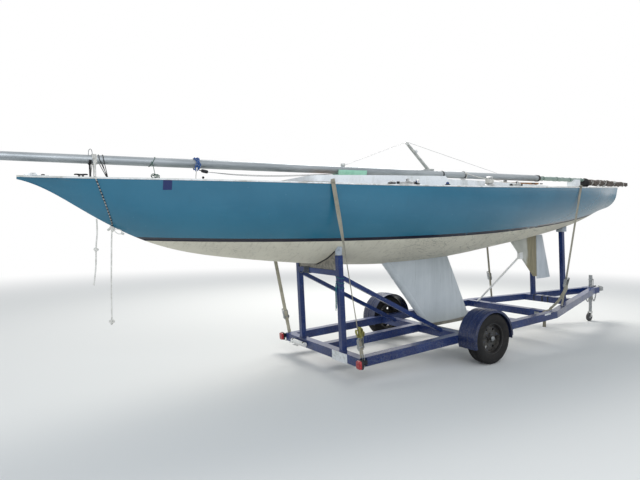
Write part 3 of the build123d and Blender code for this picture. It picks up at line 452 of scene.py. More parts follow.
# Hull
# A glass-fibre hull, sprayed blue above a thin dark boot stripe and pale bottom paint below it.
# The stripe is chipped amidships, and the bottom is scuffed and stained by its years afloat.
topsides = Finish("topsides", coat_roughness=0.12, specular_ior_level=0.45)


def hull_place(finish):
    """Wires for the distance aft and the height in the boat's frame."""
    x, z = finish.x - float(axle_foot[0]), finish.z
    run = x * float(boat_up[2]) - z * float(boat_up[0]) + axle_aft
    rise = x * float(boat_up[0]) + z * float(boat_up[2])
    return run, rise


def hull_colours(finish):
    """Blue over a parabolic stripe over pale bottom paint, with stains, scuffs and chips, and painted light on the
    stern quarter: a paler blue aft and a pale painted reflection low near the transom.
    """
    run, rise = hull_place(finish)
    sag = run - 4.35
    stripe = rise - (sag * sag * 0.0107 + 1.619)
    mottle = finish.noise(1.3, 5.0, 0.55)
    fine = finish.noise(46.0, 4.0, 0.6)
    blue = finish.mix(finish.step(mottle, 0.3, 0.7), "226682", "2A6E8A")
    # painted light: the blue turns paler towards the stern, where more light falls on the quarter
    blue = finish.mix(finish.step(run, 6.9, 9.2) * 0.25, blue, "5F8CA0")
    blue = finish.mix(finish.step(stripe, 0.34, 0.0) * 0.3, blue, "2F6F80")
    # painted reflection: a pale grey band low on the curving quarter near the transom
    tuck_reflection = finish.step(rise - (run - 8.3) * 0.10, 2.04, 1.86) * finish.step(run, 7.5, 8.7)
    blue = finish.mix(tuck_reflection * 0.6, blue, "98A0A0")
    haze = finish.step(finish.noise(3.4, 3.0, 0.6, finish.scaled(0.5, 1, 2.6)), 0.52, 0.8)
    blue = finish.mix(haze * 0.1, blue, "4F8AA0")
    runs = finish.noise(9.0, 4.0, 0.65, finish.scaled(3.2, 1.0, 0.16))
    blue = finish.mix(finish.step(runs, 0.56, 0.74) * 0.12, blue, "255C6C")
    square = finish.step(abs(run - 1.196), 0.0395, 0.0385) * finish.step(abs(rise - 2.238), 0.0455, 0.0445)
    square = square * finish.step(finish.y, 0.0, -0.01)
    blue = finish.mix(square, blue, "04205A")
    cream = finish.mix(finish.step(mottle, 0.35, 0.68), "D8D4C3", "CCC8B8")
    cream = finish.mix(finish.step(run, 5.6, 8.6) * 0.5, cream, "BAB6A8")
    cream = finish.mix(finish.step(runs, 0.5, 0.72) * 0.35, cream, "96907C")
    specks = finish.step(finish.cells(16.0), 0.1, 0.03) * finish.step(fine, 0.5, 0.62)
    cream = finish.mix(specks * 0.55, cream, "7A6A52")
    gouges = finish.noise(5.5, 2.0, 0.4, finish.scaled(1.0, 1.0, 5.2), 1.4)
    scuffs = finish.step(abs(gouges - 0.5), 0.012, 0.003) * finish.step(mottle, 0.48, 0.6)
    cream = finish.mix(scuffs * 0.6, cream, "6E7067")
    rubs = finish.noise(3.1, 2.0, 0.5, finish.scaled(0.8, 1.0, 2.4), 2.2)
    rubs = finish.step(abs(rubs - 0.47), 0.02, 0.006) * finish.step(run, 3.4, 4.2)
    rubs = rubs * finish.step(run, 7.4, 6.6)
    cream = finish.mix(rubs * 0.45, cream, "77786C")
    below = finish.step(stripe, 0.0, -0.004)
    colour = finish.mix(below, blue, cream)
    chips = finish.step(finish.noise(26.0, 4.0, 0.7) + finish.noise(2.2, 1.0) * 0.5, 0.84, 0.9)
    worn = chips * finish.step(run, 4.0, 4.8) * finish.step(run, 7.6, 6.9)
    band = finish.step(abs(stripe), 0.0185, 0.0165) * finish.step(run, 8.48, 8.42) * (1.0 - worn)
    colour = finish.mix(band, colour, "101527")
    finish.feed(base_color=colour)
    gloss = below * 0.42 + 0.26 + specks * 0.1
    finish.feed(roughness=gloss, coat_weight=(1.0 - below) * 0.3)
    ripple = finish.noise(0.9, 1.0, 0.3) * 0.6 + finish.noise(2.6, 2.0, 0.4) * 0.1
    finish.feed(normal=finish.bump(fine * below, 0.0003, finish.bump(ripple, 0.01)))


hull_colours(topsides)
frame["nodes"]["hull_shell"].material_slots[0].material = topsides.material


def on_boat(direction):
    """A direction of the boat's frame in the shared frame."""
    x, y, z = direction
    return x * boat_aft + y * starboard + z * boat_up


hull_rows = np.array([
    (0.0, 0.014, 2.328), (0.5, 0.200, 2.307), (1.05, 0.385, 2.287), (2.0, 0.665, 2.254),
    (3.1, 0.885, 2.218), (4.6, 1.050, 2.192), (6.0, 1.030, 2.194), (7.4, 0.860, 2.211),
    (8.5, 0.610, 2.236), (9.296, 0.390, 2.256),
])


def edge_height(aft_of_stem):
    """Height of the deck's edge, in straight runs between the hull's stations."""
    return np.interp(aft_of_stem, hull_rows[:, 0], hull_rows[:, 2])


def deck_top(aft_of_stem, across):
    """Height of the crowned deck: its edge, its thickness, and a parabola across the half beam."""
    half = np.interp(aft_of_stem, hull_rows[:, 0], hull_rows[:, 1])
    return edge_height(aft_of_stem) + 0.018 + 0.055 * half * (1 - (np.asarray(across) / half) ** 2)


sheer_vinyl = mottled("sheer_vinyl", "E4E6E6", "B4B3AA", (12.0, 5.0, 0.65), (0.42, 0.72), (0.3, 0.3), 0.0008)
stations = np.linspace(0.03, 9.27, 120)
trims = []
for hand in (-1, 1):
    outside = np.stack([stations, 0 * stations + hand * 1.6, edge_height(stations) - 0.003], axis=1)
    landed = met(boat(outside), (0, -hand, 0), "hull_shell")
    half_round = oval(0.011, 0.014, 2.4, 12)
    trims.append(swept(landed + (0, hand * 0.003, 0) + boat_up * 0.011, half_round, boat_up))
piece("sheer_trim", sheer_vinyl, trims)


def rope_finish(name, main, fleck, share, dashes=0.0):
    """Braided yarn: fine ribs across the strand, flecks of a second colour, grime in the lows, and
    a tracer yarn that comes round in dashes."""
    yarn = Finish(name, specular_ior_level=0.2)
    mapped = yarn.node("ShaderNodeUVMap", {"uv_map": "length"})
    run = yarn.node("ShaderNodeSeparateXYZ", {}, {"Vector": mapped}, "Y")
    ribs = (run * 1900.0).sine() * 0.5 + 0.5
    spots = yarn.step(yarn.cells(95.0, yarn.scaled(1.0, 1.0, 0.6)), share, share * 0.6)
    grime = yarn.noise(24.0, 4.0, 0.6)
    flecked = yarn.mix(spots, main, fleck)
    if dashes:
        flecked = yarn.mix(yarn.step((run * (6.283 / dashes)).sine(), 0.1, 0.4) * 0.85, flecked, fleck)
    colour = yarn.mix(yarn.step(grime, 0.4, 0.75) * 0.35, flecked, "6B6557")
    yarn.feed(base_color=yarn.mix(ribs * 0.18, colour, "3A3833"), roughness=grime * 0.2 + 0.7)
    yarn.feed(normal=yarn.bump(ribs, 0.0004))
    return yarn


def run_along(path):
    """The length run along a line of points, at each of them."""
    return np.concatenate([[0], np.linalg.norm(np.diff(path, axis=0), axis=1).cumsum()])


def laid(path, radius, up):
    """Three strands laid about a path: each stands off it by under half of the rope's radius, at an
    angle that turns once in every seven radii."""
    length = run_along(path)
    even = np.linspace(0, length[-1], max(int(length[-1] / (radius * 1.2)), 8))
    path = np.stack([np.interp(even, length, axis) for axis in path.T], axis=1)
    side = unit(np.cross(unit(np.gradient(path, axis=0)), up))
    lift = np.cross(side, unit(np.gradient(path, axis=0)))
    strands = []
    for start in (0, 2.094, 4.189):
        angle = (even / (radius * 7) * math.tau + start)[:, None]
        offset = (np.cos(angle) * side + np.sin(angle) * lift) * radius * 0.46
        strands.append(swept(path + offset, oval(radius * 1.1, radius * 1.1, corners=7), up))
    return strands


def knot(at, radius, size, facing):
    """An overhand knot: a trefoil line, sin t + 2 sin 2t by cos t - 2 cos 2t, lifted by sin 3t."""
    facing = unit(facing)
    side = unit(np.cross(facing, (0.2, 0.1, 0.97)))
    t = np.linspace(0, math.tau, 73)[:-1, None]
    flat = (np.sin(t) + 2 * np.sin(2 * t)) * side + (np.cos(t) - 2 * np.cos(2 * t)) * np.cross(side, facing)
    path = at + (flat - 1.1 * np.sin(3 * t) * facing) * size / 3
    return swept(path, oval(2 * radius, 2 * radius, corners=9), facing, ring=True)


dark_line = rope_finish("dark_flecked_line", "1B2430", "C4C2BE", 0.3, 0.034)
white_line = rope_finish("white_line", "ECEAE4", "B9B6AD", 0.2)
girth_radius = 0.0065
drop = np.linspace(0, 1, 26)[:-1]
girth_aft = 0.608 + 0.152 * drop
girth_low = met(boat([[0.76, 0, 0.9]]), boat_up, "hull_shell")
girth_sides = {}
for hand in (-1, 1):
    outside = np.stack([girth_aft, 0 * drop + hand * 0.9, 2.3 - 0.405 * drop], axis=1)
    landed = met(boat(outside), (0, -hand, 0), "hull_shell")
    away = unit(np.array([0.0, hand, -0.42]))
    girth_sides[hand] = landed + away * girth_radius * 1.02
bottom = girth_low - boat_up * girth_radius * 1.3
girth = np.concatenate([girth_sides[-1], bottom, girth_sides[1][::-1]])
piece("bow_girth_rope", dark_line,
      laid(smooth(girth, 420), girth_radius, boat_aft))
knots = [knot(bottom[0] - boat_up * 0.013 + on_boat((0, -0.012, 0)), 0.0055, 0.022, (0.4, -0.8, 0.3)),
         knot(boat([0.765, -0.018, 1.842]), 0.0055, 0.02, (0.4, -0.8, 0.3))]
loop_at = smooth(boat([(0.77, -0.02, 1.838), (0.79, -0.026, 1.812), (0.815, -0.03, 1.796),
                       (0.838, -0.03, 1.80), (0.842, -0.026, 1.822), (0.82, -0.02, 1.838),
                       (0.785, -0.018, 1.845)]), 90)
piece("girth_knots", white_line,
      [*knots, *laid(loop_at, 0.0045, starboard)])
toggle_finish = Finish("toggle_plastic", roughness=0.4)
toggle_finish.feed(base_color=toggle_finish.mix(toggle_finish.noise(60.0, 3.0), "D9D9D4", "BDBBB3"))
piece("girth_toggles", toggle_finish, [
    turned([(0, 0), (0.002, 0.008), (0.009, 0.0115), (0.02, 0.0115), (0.027, 0.008), (0.029, 0)],
           boat([x, y, z]), axis, 20)
    for x, y, z, axis in ((0.738, -0.022, 1.848, (-0.8, -0.4, -0.5)),
                          (0.836, -0.030, 1.800, (0.9, -0.3, -0.2)))
])


def points_of(mesh):
    """The mesh's vertices as rows of three."""
    flat = np.empty(len(mesh.vertices) * 3)
    mesh.vertices.foreach_get("co", flat)
    return flat.reshape(-1, 3)


def route_line(points):
    """The points that an open quadratic NURBS curve passes through, given its control points."""
    curve = bpy.data.curves.new("route", "CURVE")
    curve.dimensions = "3D"
    curve.resolution_u = 16
    spline = curve.splines.new("NURBS")
    spline.points.add(len(points) - 1)
    spline.points.foreach_set("co", np.column_stack([points, np.ones(len(points))]).ravel())
    spline.order_u = 3
    spline.use_endpoint_u = True
    holder = bpy.data.objects.new("route", curve)
    line = bpy.data.meshes.new_from_object(holder)
    along = points_of(line)
    bpy.data.objects.remove(holder)
    bpy.data.meshes.remove(line)
    return along


tail_radius = 0.0075
short_top = met(boat([[0.629, 0, 0.9]]), boat_up, "hull_shell")[0] - boat_up * tail_radius
short_tail = route_line(np.concatenate([[short_top], boat([
    (0.629, -0.004, 1.905), (0.628, -0.008, 1.86), (0.624, -0.01, 1.79), (0.611, -0.012, 1.70),
    (0.606, -0.008, 1.60), (0.600, -0.010, 1.50), (0.588, -0.012, 1.41), (0.573, -0.010, 1.321),
])]))
short_sheets = laid(short_tail, tail_radius, starboard)
short_rope = piece("bow_tail_short", white_line, short_sheets)
hitch = piece("bow_tail_hitch", white_line, [
    knot(boat([0.6085, -0.010, 1.655]), 0.006, 0.019, (0.3, -0.9, 0.1)),
])
long_tail = route_line(boat([
    (0.757, -0.010, 1.845), (0.754, -0.013, 1.79), (0.746, -0.018, 1.70), (0.742, -0.016, 1.60),
    (0.735, -0.012, 1.48), (0.728, -0.014, 1.34), (0.722, -0.012, 1.20), (0.718, -0.010, 1.06),
    (0.715, -0.010, 0.955),
]))
long_rope = piece("bow_tail_long", white_line,
                  laid(long_tail, tail_radius, starboard))
stopper = piece("bow_tail_knot", white_line, [
    knot(long_tail[-1], 0.008, 0.022, (0.3, -0.9, 0.1)),
])
for rope, path, far_end, on_it in (
    (short_rope, short_tail, "bare", [hitch]), (long_rope, long_tail, "knot", [stopper]),
):
    float(run_along(path)[-1])


def dress(finish, *nodes):
    """Give CAD nodes their finished surface, on every slot."""
    for name in nodes:
        for slot in frame["nodes"][name].material_slots:
            slot.material = finish.material


# Deck and cockpit
# Moulded decks in white with a sanded tread between the smooth waterways, a white cockpit
# coaming bolted to them, a varnished partner across the cockpit and a beam for the mainsheet.
deck_paint = Finish("deck_paint", specular_ior_level=0.4)
dirt = deck_paint.noise(5.0, 6.0, 0.65)
grain = deck_paint.cells(420.0)
tread = deck_paint.step(abs(deck_paint.y), 0.06, 0.075)
white = deck_paint.mix(deck_paint.step(dirt, 0.4, 0.72), "DADBD8", "B9B9AF")
white = deck_paint.mix(deck_paint.step(deck_paint.noise(18.0, 5.0, 0.7), 0.56, 0.75) * 0.45, white, "8D8A7C")
deck_paint.feed(base_color=white, roughness=deck_paint.step(dirt, 0.3, 0.8, 0.42, 0.7))
deck_paint.feed(normal=deck_paint.bump(grain * tread, 0.0012))
dress(deck_paint, "foredeck", "side_decks", "aft_deck", "cockpit_sole")

coaming_paint = Finish("coaming_paint", coat_roughness=0.15)
dirt = coaming_paint.noise(7.0, 5.0, 0.6, coaming_paint.scaled(1.0, 1.0, 0.35))
white = coaming_paint.mix(coaming_paint.step(dirt, 0.42, 0.75), "E9ECF0", "CDD0D0")
scratch = coaming_paint.noise(9.0, 3.0, 0.5, coaming_paint.scaled(0.6, 1, 5.0))
scratch = coaming_paint.step(abs(scratch - 0.5), 0.01, 0.003)
white = coaming_paint.mix(scratch * 0.3, white, "8F9495")
coaming_paint.feed(base_color=white, roughness=coaming_paint.step(dirt, 0.3, 0.8, 0.22, 0.45),
                   coat_weight=0.3)
coaming_paint.feed(normal=coaming_paint.bump(coaming_paint.noise(3.0, 2.0), 0.004))
dress(coaming_paint, "cockpit_front", "cockpit_side_port", "cockpit_side_starboard", "cockpit_aft",
      "traveller_beam", "stern_rest")


def wood_finish(name, dark, light, scale):
    """Long grain along the boat: rings of stretched noise, with pores and a worn varnish."""
    wood = Finish(name, coat_roughness=0.2)
    rings = wood.noise(scale, 4.0, 0.55, wood.scaled(0.12, 1.0, 1.0), 0.8)
    pores = wood.noise(scale * 9, 3.0, 0.6, wood.scaled(0.05, 1.0, 1.0))
    grain = wood.step((rings * 18.0).sine() * 0.5 + 0.5, 0.15, 0.95)
    colour = wood.mix(grain * 0.6 + pores * 0.3, dark, light)
    colour = wood.mix(wood.step(wood.noise(6.0, 5.0, 0.6), 0.55, 0.75) * 0.4, colour, dark)
    wood.feed(base_color=colour, roughness=wood.step(pores, 0.3, 0.7, 0.35, 0.6), coat_weight=0.2)
    wood.feed(normal=wood.bump(pores * 0.6 + grain * 0.4, 0.0008))
    return wood


varnished = wood_finish("varnished_wood", "6E431F", "B0793F", 14.0)
dress(varnished, "mast_partner", "tiller")
plywood = wood_finish("grey_plywood", "5F5B52", "8E897C", 20.0)
dress(plywood, "bow_chock", "keel_bunk")

# Deck hardware
# Stem fitting, genoa tracks with their cars, cam cleats, turning blocks and drum winches, each
# screwed down through the deck, with a horn cleat and small chocks of black plastic.


def side_spot(aft_of_stem, hand, coaming_half):
    """Distance across and height of the middle of the side deck between coaming and edge."""
    half = np.interp(aft_of_stem, hull_rows[:, 0], hull_rows[:, 1])
    across = hand * (half + coaming_half) / 2
    return across, float(deck_top(aft_of_stem, across))


def screwed(at, out, radius=0.006):
    """A countersunk screw head: a shallow dome on a short cone."""
    return turned([(0, radius), (radius * 0.2, radius * 1.02), (radius * 0.5, radius * 0.7),
                   (radius * 0.6, 0)], at, out, 16)


stainless = Finish("stainless", metallic=0.95)
haze = stainless.noise(18.0, 4.0, 0.6)
hair = stainless.noise(280.0, 2.0, 0.5, stainless.scaled(0.06, 1.0, 1.0))
stainless.feed(base_color=stainless.mix(stainless.step(haze, 0.4, 0.7), "C6C8C9", "989B9C"))
stainless.feed(roughness=haze * 0.2 + hair * 0.08 + 0.2, normal=stainless.bump(hair + haze, 0.0005))
black_plastic = mottled("black_plastic", "15161A", "33353A", (40.0, 4.0, 0.65), (0.45, 0.75), (0.25, 0.35),
                        0.0006, specular_ior_level=0.4)
blue_plastic = mottled("blue_plastic", "12336B", "2A4F86", (40.0, 4.0, 0.65), (0.45, 0.75), (0.25, 0.3),
                       0.0006, specular_ior_level=0.45)

metalwork, darkwork, bluework = [], [], []
for hand in (-1, 1):
    for middle, length, coaming_half in ((3.83, 0.28, 0.619), (5.77, 0.24, 0.641)):
        across, height = side_spot(middle, hand, coaming_half)
        # a track's foot, web and head: height of its middle, breadth, thickness
        metalwork += [block(boat([middle, across, height + above]), (length, wide, thick), boat_aft, boat_up)
                      for above, wide, thick in ((0.003, 0.032, 0.005), (0.012, 0.011, 0.016),
                                                 (0.0215, 0.026, 0.006))]
        for end in (-1, 1):
            stop = boat([middle + end * (length / 2 - 0.012), across, height + 0.016])
            darkwork.append(block(stop, (0.024, 0.034, 0.030), boat_aft, boat_up, 6.0, 0.003))
        holes = np.arange(middle - length / 2 + 0.035, middle + length / 2 - 0.03, 0.025)
        darkwork += [turned([(0, 0.0045), (0.0006, 0.0045), (0.0006, 0)],
                            boat([x, across, height + 0.0244]), boat_up, 12) for x in holes]
        car = boat([middle + 0.02, across, height + 0.028])
        metalwork.append(block(car, (0.07, 0.036, 0.013), boat_aft, boat_up, 5.0, 0.003))
        darkwork.append(turned([(-0.006, 0.006), (-0.006, 0.017), (0, 0.014), (0.006, 0.017),
                                (0.006, 0.006)], car + boat_up * 0.019, starboard, 24, ring=True))
        metalwork += [block(car + boat_up * 0.018 + starboard * cheek, (0.034, 0.003, 0.03),
                            boat_aft, boat_up, 3.0, 0.0008) for cheek in (-0.009, 0.009)]
    across, height = side_spot(3.62, hand, 0.616)
    seat = boat([3.62, across, height])
    darkwork.append(block(seat + boat_up * 0.009, (0.09, 0.044, 0.018), boat_aft, boat_up, 5.0, 0.003))
    for cheek in (-1, 1):
        teeth = oval(0.022, 0.022, 2.0, 22) * (1 + 0.09 * np.tile([1, -1], 11))[:, None]
        at = seat + boat_up * 0.018 + starboard * cheek * 0.0125 - boat_aft * 0.006
        metalwork.append(swept(at + np.linspace(0, 0.015, 5)[:, None] * boat_up, teeth, starboard))
        metalwork += bolt(at + boat_up * 0.014, boat_up, 0.0045)
    hoop = seat + on_boat((0.026, 0, 0)) + np.stack([
        np.cos(np.linspace(0, math.pi, 15)) * 0.019, np.sin(np.linspace(0, math.pi, 15)) * 0.017 + 0.018,
    ], axis=1) @ np.stack([starboard, boat_up])
    metalwork.append(round_bar(hoop, 0.006, 10, boat_aft))
    for x, reach in ((3.99, 0.62), (4.455, 0.637)):
        across, height = side_spot(x, hand, reach)
        at = boat([x, across, height])
        tall_block = x < 4.2
        darkwork.append(block(at + boat_up * 0.006, (0.055, 0.042, 0.012), boat_aft, boat_up, 4.0, 0.003))
        bluework.append(turned([(-0.011, 0.004), (-0.011, 0.017), (-0.006, 0.021), (0, 0.016),
                                (0.006, 0.021), (0.011, 0.017), (0.011, 0.004)],
                               at + boat_up * (0.03 if tall_block else 0.018), starboard, 28, ring=True))
        if tall_block:
            metalwork.append(block(at + boat_up * 0.03, (0.03, 0.037, 0.05), boat_aft, boat_up, 3.0, 0.003))
            metalwork += bolt(at + boat_up * 0.03 + starboard * hand * 0.018, starboard * hand, 0.005)
metalwork.append(block(boat([0.15, 0, 2.3465]), (0.21, 0.034, 0.005), boat_aft, boat_up))
for cheek in (-0.013, 0.013):
    metalwork.append(block(boat([0.11, cheek, 2.358]), (0.10, 0.004, 0.024), boat_aft, boat_up, 5.0))
metalwork += [rod(boat([x, -0.017, z]), boat([x, 0.017, z]), 0.004)
              for x, z in ((0.075, 2.360), (0.125, 2.362))]
metalwork += [screwed(boat([x, 0, 2.349]), boat_up) for x in (0.19, 0.22, 0.245)]
darkwork.append(block(boat([0.205, 0, 2.352]), (0.03, 0.028, 0.016), boat_aft, boat_up, 4.0, 0.003))
horn = smooth(boat([(0.455, 0, 2.362), (0.475, 0, 2.3645), (0.515, 0, 2.3615), (0.555, 0, 2.3645),
                    (0.575, 0, 2.362)]), 30)
swell = np.interp(np.linspace(0, 1, 30), [0, 0.1, 0.5, 0.9, 1], [0.45, 0.95, 1.3, 0.95, 0.45])
darkwork.append(swept(horn, oval(0.015, 0.013), boat_up, swell))
for x in (0.498, 0.532):
    foot = boat([x, 0, 2.3352])
    darkwork.append(turned([(0, 0), (0, 0.014), (0.005, 0.013), (0.014, 0.0075), (0.028, 0.0075),
                            (0.03, 0)], foot, boat_up, 20))
darkwork.append(rod(boat([1.67, -0.05, 2.3128]), boat([1.67, -0.05, 2.338]), 0.005))
darkwork.append(turned([(-0.013, 0), (-0.010, 0.009), (0, 0.0135), (0.010, 0.009), (0.013, 0)],
                       boat([1.67, -0.05, 2.350]), boat_up, 20))
darkwork.append(turned([(0, 0), (0, 0.015), (0.004, 0.014), (0.006, 0)],
                       boat([1.67, -0.05, 2.3130]), boat_up))
darkwork += [block(boat([x, -0.475, z]), (0.05, 0.026, 0.016), boat_aft, boat_up, 3.0, 0.003)
             for x, z in ((6.68, 2.3085), (6.88, 2.3035))]
piece("deck_metalwork", stainless, metalwork, ("deck_fittings",))
piece("deck_plastics", black_plastic, darkwork)
piece("deck_sheaves", blue_plastic, bluework)

drums = []
for hand in (-1, 1):
    across, height = side_spot(5.22, hand, 0.64)
    foot = boat([5.22, across, height - 0.001])
    drums.append(turned([(0, 0), (0, 0.062), (0.010, 0.062), (0.014, 0.057), (0.017, 0.046),
                         (0.020, 0.043)], foot, boat_up, 48))
    angle = round_trip(96)
    rise_at = np.linspace(0.020, 0.100, 24)
    waist = 0.034 + 0.010 * (np.abs(rise_at - 0.058) / 0.040) ** 2.4
    grip = 1 + 0.022 * np.sign(np.sin(angle * 24)) * (np.abs(rise_at - 0.058) < 0.030)[:, None]
    spoke = np.cos(angle)[:, None] * boat_aft + np.sin(angle)[:, None] * starboard
    wall = foot + rise_at[:, None, None] * boat_up + (waist[:, None] * grip)[..., None] * spoke
    drums.append(sheet(wall, around=True))
    drums.append(turned([(0.100, 0.044), (0.104, 0.0455), (0.110, 0.0445), (0.1165, 0.036), (0.118, 0.022),
                         (0.118, 0.0125), (0.098, 0.0120), (0.098, 0)], foot, boat_up, 48))
    drums += [screwed(foot + boat_up * 0.0118 + 0.0545 * (math.cos(a) * boat_aft + math.sin(a) * starboard),
                      boat_up, 0.0045) for a in np.arange(5) * math.tau / 5]
piece("winch_drums", stainless, drums, ("winches",))

across, height = side_spot(5.22, -1, 0.64)
winch_foot = boat([5.22, across, height])
turns = np.linspace(0, 4.6 * math.tau, 260)[:, None]
coil_radius = 0.0475 + 0.002 * np.sin(turns * 0.73)
coil = winch_foot + (0.030 + turns / math.tau * 0.0125) * boat_up + coil_radius * (
    np.cos(turns) * boat_aft + np.sin(turns) * starboard)
lashing = smooth(boat([
    (5.690, 0.066, 2.430), (5.690, 0.050, 2.492), (5.688, 0.004, 2.5165), (5.684, -0.050, 2.492),
    (5.62, -0.16, 2.458), (5.46, -0.45, 2.386), (5.27, -0.80, 2.318),
]), 120)
second = smooth(boat([
    (5.245, across - 0.036, height + 0.072), (5.44, -0.72, 2.322), (5.60, -0.640, 2.3275),
    (5.70, -0.700, 2.300), (5.845, -0.838, 2.262),
]), 110)
under = smooth(boat([(5.690, 0.066, 2.430), (5.690, 0.05, 2.405), (5.688, 0.0, 2.394),
                     (5.686, -0.05, 2.405), (5.685, -0.068, 2.45), (5.684, -0.050, 2.492)]), 60)
piece("winch_lashing", white_line, [
    *laid(coil, 0.0062, boat_up), *laid(lashing, 0.0058, boat_up), *laid(second, 0.0052, boat_up),
    *laid(under, 0.0058, boat_aft),
    knot(boat([5.675, -0.062, 2.482]), 0.0055, 0.016, starboard),
    knot(boat([5.845, -0.838, 2.262]), 0.005, 0.014, starboard),
])

# Mainsheet traveller
# A steel car with a plastic sheave, on the beam that is bolted across the cockpit; screws run
# along the beam, and a moulded stop sits on each of its ends.
car = boat([5.98, 0.0, 2.322])
rollers = [block(boat([5.98, 0.0, 2.3285]), (0.088, 0.052, 0.010), starboard, boat_up, 6.0, 0.002)]
for step in (-0.03, 0.03):
    rollers += bolt(car + step * starboard + boat_up * 0.0105, boat_up, 0.0045)
for cheek in (-0.011, 0.011):
    rollers.append(block(car + boat_up * 0.030 + cheek * boat_aft, (0.045, 0.003, 0.045), starboard,
                         boat_up, 3.0, 0.0008))
rollers += [screwed(boat([5.98, y, 2.3232]), boat_up, 0.004) for y in np.arange(-0.48, 0.481, 0.08)
            if abs(y) > 0.06]
piece("traveller_metal", stainless, rollers)
sheave = turned([(-0.008, 0.006), (-0.008, 0.021), (0, 0.017), (0.008, 0.021), (0.008, 0.006)],
                car + boat_up * 0.032, boat_aft, 28, ring=True)
ends = [block(boat([5.98, y, 2.330]), (0.034, 0.044, 0.022), starboard, boat_up, 5.0, 0.003)
        for y in (-0.505, 0.505)]
piece("traveller_plastic", black_plastic, [sheave, *ends])

# Keel
# A cast fin bolted under the hull, faired and coated in pale grey primer that weeps in long
# streaks down from the hull joint and turns a darker, warmer grey towards its foot.
keel_coat = Finish("keel_coat", specular_ior_level=0.35)
rise = hull_place(keel_coat)[1]
streaks = keel_coat.noise(7.0, 5.0, 0.6, keel_coat.scaled(2.2, 1.0, 0.1))
drips = keel_coat.noise(16.0, 4.0, 0.7, keel_coat.scaled(3.0, 1.0, 0.07))
patches = keel_coat.noise(2.2, 4.0, 0.55)
pits = keel_coat.cells(60.0)
colour = keel_coat.mix(keel_coat.step(patches, 0.3, 0.75), "CCD2D6", "BFC6CA")
colour = keel_coat.mix(keel_coat.step(streaks, 0.46, 0.7) * 0.25, colour, "DDE1E3")
colour = keel_coat.mix(keel_coat.step(streaks, 0.48, 0.34) * 0.1, colour, "9CA4A6")
colour = keel_coat.mix(keel_coat.step(drips, 0.42, 0.3) * 0.4, colour, "8A9292")
# a darker, warmer grey towards the keel's foot
colour = keel_coat.mix(keel_coat.step(rise, 0.6, 0.36) * 0.3, colour, "A3A598")
rust = keel_coat.step(pits, 0.12, 0.03) * keel_coat.step(patches, 0.5, 0.62)
colour = keel_coat.mix(rust * 0.3, colour, "6B5546")
keel_coat.feed(base_color=colour, roughness=keel_coat.step(patches, 0.3, 0.7, 0.52, 0.72))
keel_coat.feed(normal=keel_coat.bump(patches * 0.7 + streaks * 0.1 - rust * 0.2, 0.002))
dress(keel_coat, "keel")

# Skeg and rudder
# A laminated skeg, bare and weather-stained along its after part, with the painted rudder blade
# turning behind it on a steel stock that comes up through the aft deck to the tiller.
skeg_coat = Finish("skeg_coat")
run = hull_place(skeg_coat)[0]
weep = skeg_coat.noise(26.0, 5.0, 0.7, skeg_coat.scaled(2.4, 1.0, 0.1))
bare = skeg_coat.step(run + skeg_coat.noise(7.0, 3.0) * 0.06, 7.13, 7.19)
colour = skeg_coat.mix(skeg_coat.step(skeg_coat.noise(5.0, 4.0), 0.35, 0.7), "C9C9C1", "B7B8AF")
brown = skeg_coat.mix(skeg_coat.step(weep, 0.4, 0.65), "857E66", "A39A7E")
brown = skeg_coat.mix(skeg_coat.step(weep, 0.38, 0.28) * 0.7, brown, "5A5140")
colour = skeg_coat.mix(bare, colour, brown)
skeg_coat.feed(base_color=colour, roughness=0.62 + weep * 0.15)
skeg_coat.feed(normal=skeg_coat.bump(weep * bare + skeg_coat.noise(90.0, 3.0) * 0.3, 0.0012))
dress(skeg_coat, "skeg")

rudder_coat = Finish("rudder_coat")
wipe = rudder_coat.noise(4.0, 5.0, 0.6, rudder_coat.scaled(1.6, 1.0, 0.5))
colour = rudder_coat.mix(rudder_coat.step(wipe, 0.35, 0.7), "CDD3D9", "B9C1C6")
colour = rudder_coat.mix(rudder_coat.step(rudder_coat.cells(34.0), 0.1, 0.03) * 0.5, colour, "5F5E55")
rudder_coat.feed(base_color=colour, roughness=rudder_coat.step(wipe, 0.3, 0.8, 0.4, 0.66))
rudder_coat.feed(normal=rudder_coat.bump(wipe * 0.6 + rudder_coat.noise(120.0, 2.0) * 0.15, 0.002))
dress(rudder_coat, "rudder_blade")


def metal_finish(name, colour, dull, rough, tarnish, scale=1.0):
    """Metal with brushed hairlines, cloudy tarnish and small pits."""
    metal = Finish(name, metallic=1.0)
    clouds = metal.noise(14.0 * scale, 5.0, 0.6)
    hair = metal.noise(260.0 * scale, 2.0, 0.5, metal.scaled(0.06, 1.0, 1.0))
    tint = metal.mix(metal.step(clouds, 0.4, 0.7), colour, dull)
    tint = metal.mix(metal.step(metal.noise(60.0 * scale, 4.0, 0.7), 0.6, 0.72) * tarnish, tint, "4A3A2C")
    metal.feed(base_color=tint, roughness=clouds * 0.25 + rough + hair * 0.08)
    metal.feed(metallic=metal.step(clouds, 0.8, 0.5, 0.75, 0.95))
    metal.feed(normal=metal.bump(hair * 0.5 + clouds, 0.0006))
    return metal


dress(stainless, "rudder_stock", "shrouds")
galvanised = metal_finish("galvanised", "9DA0A2", "7C8082", 0.38, 0.45)
dress(galvanised, "rudder_tube", "axle_beam", "jack_sleeve", "jack_leg", "coupler")

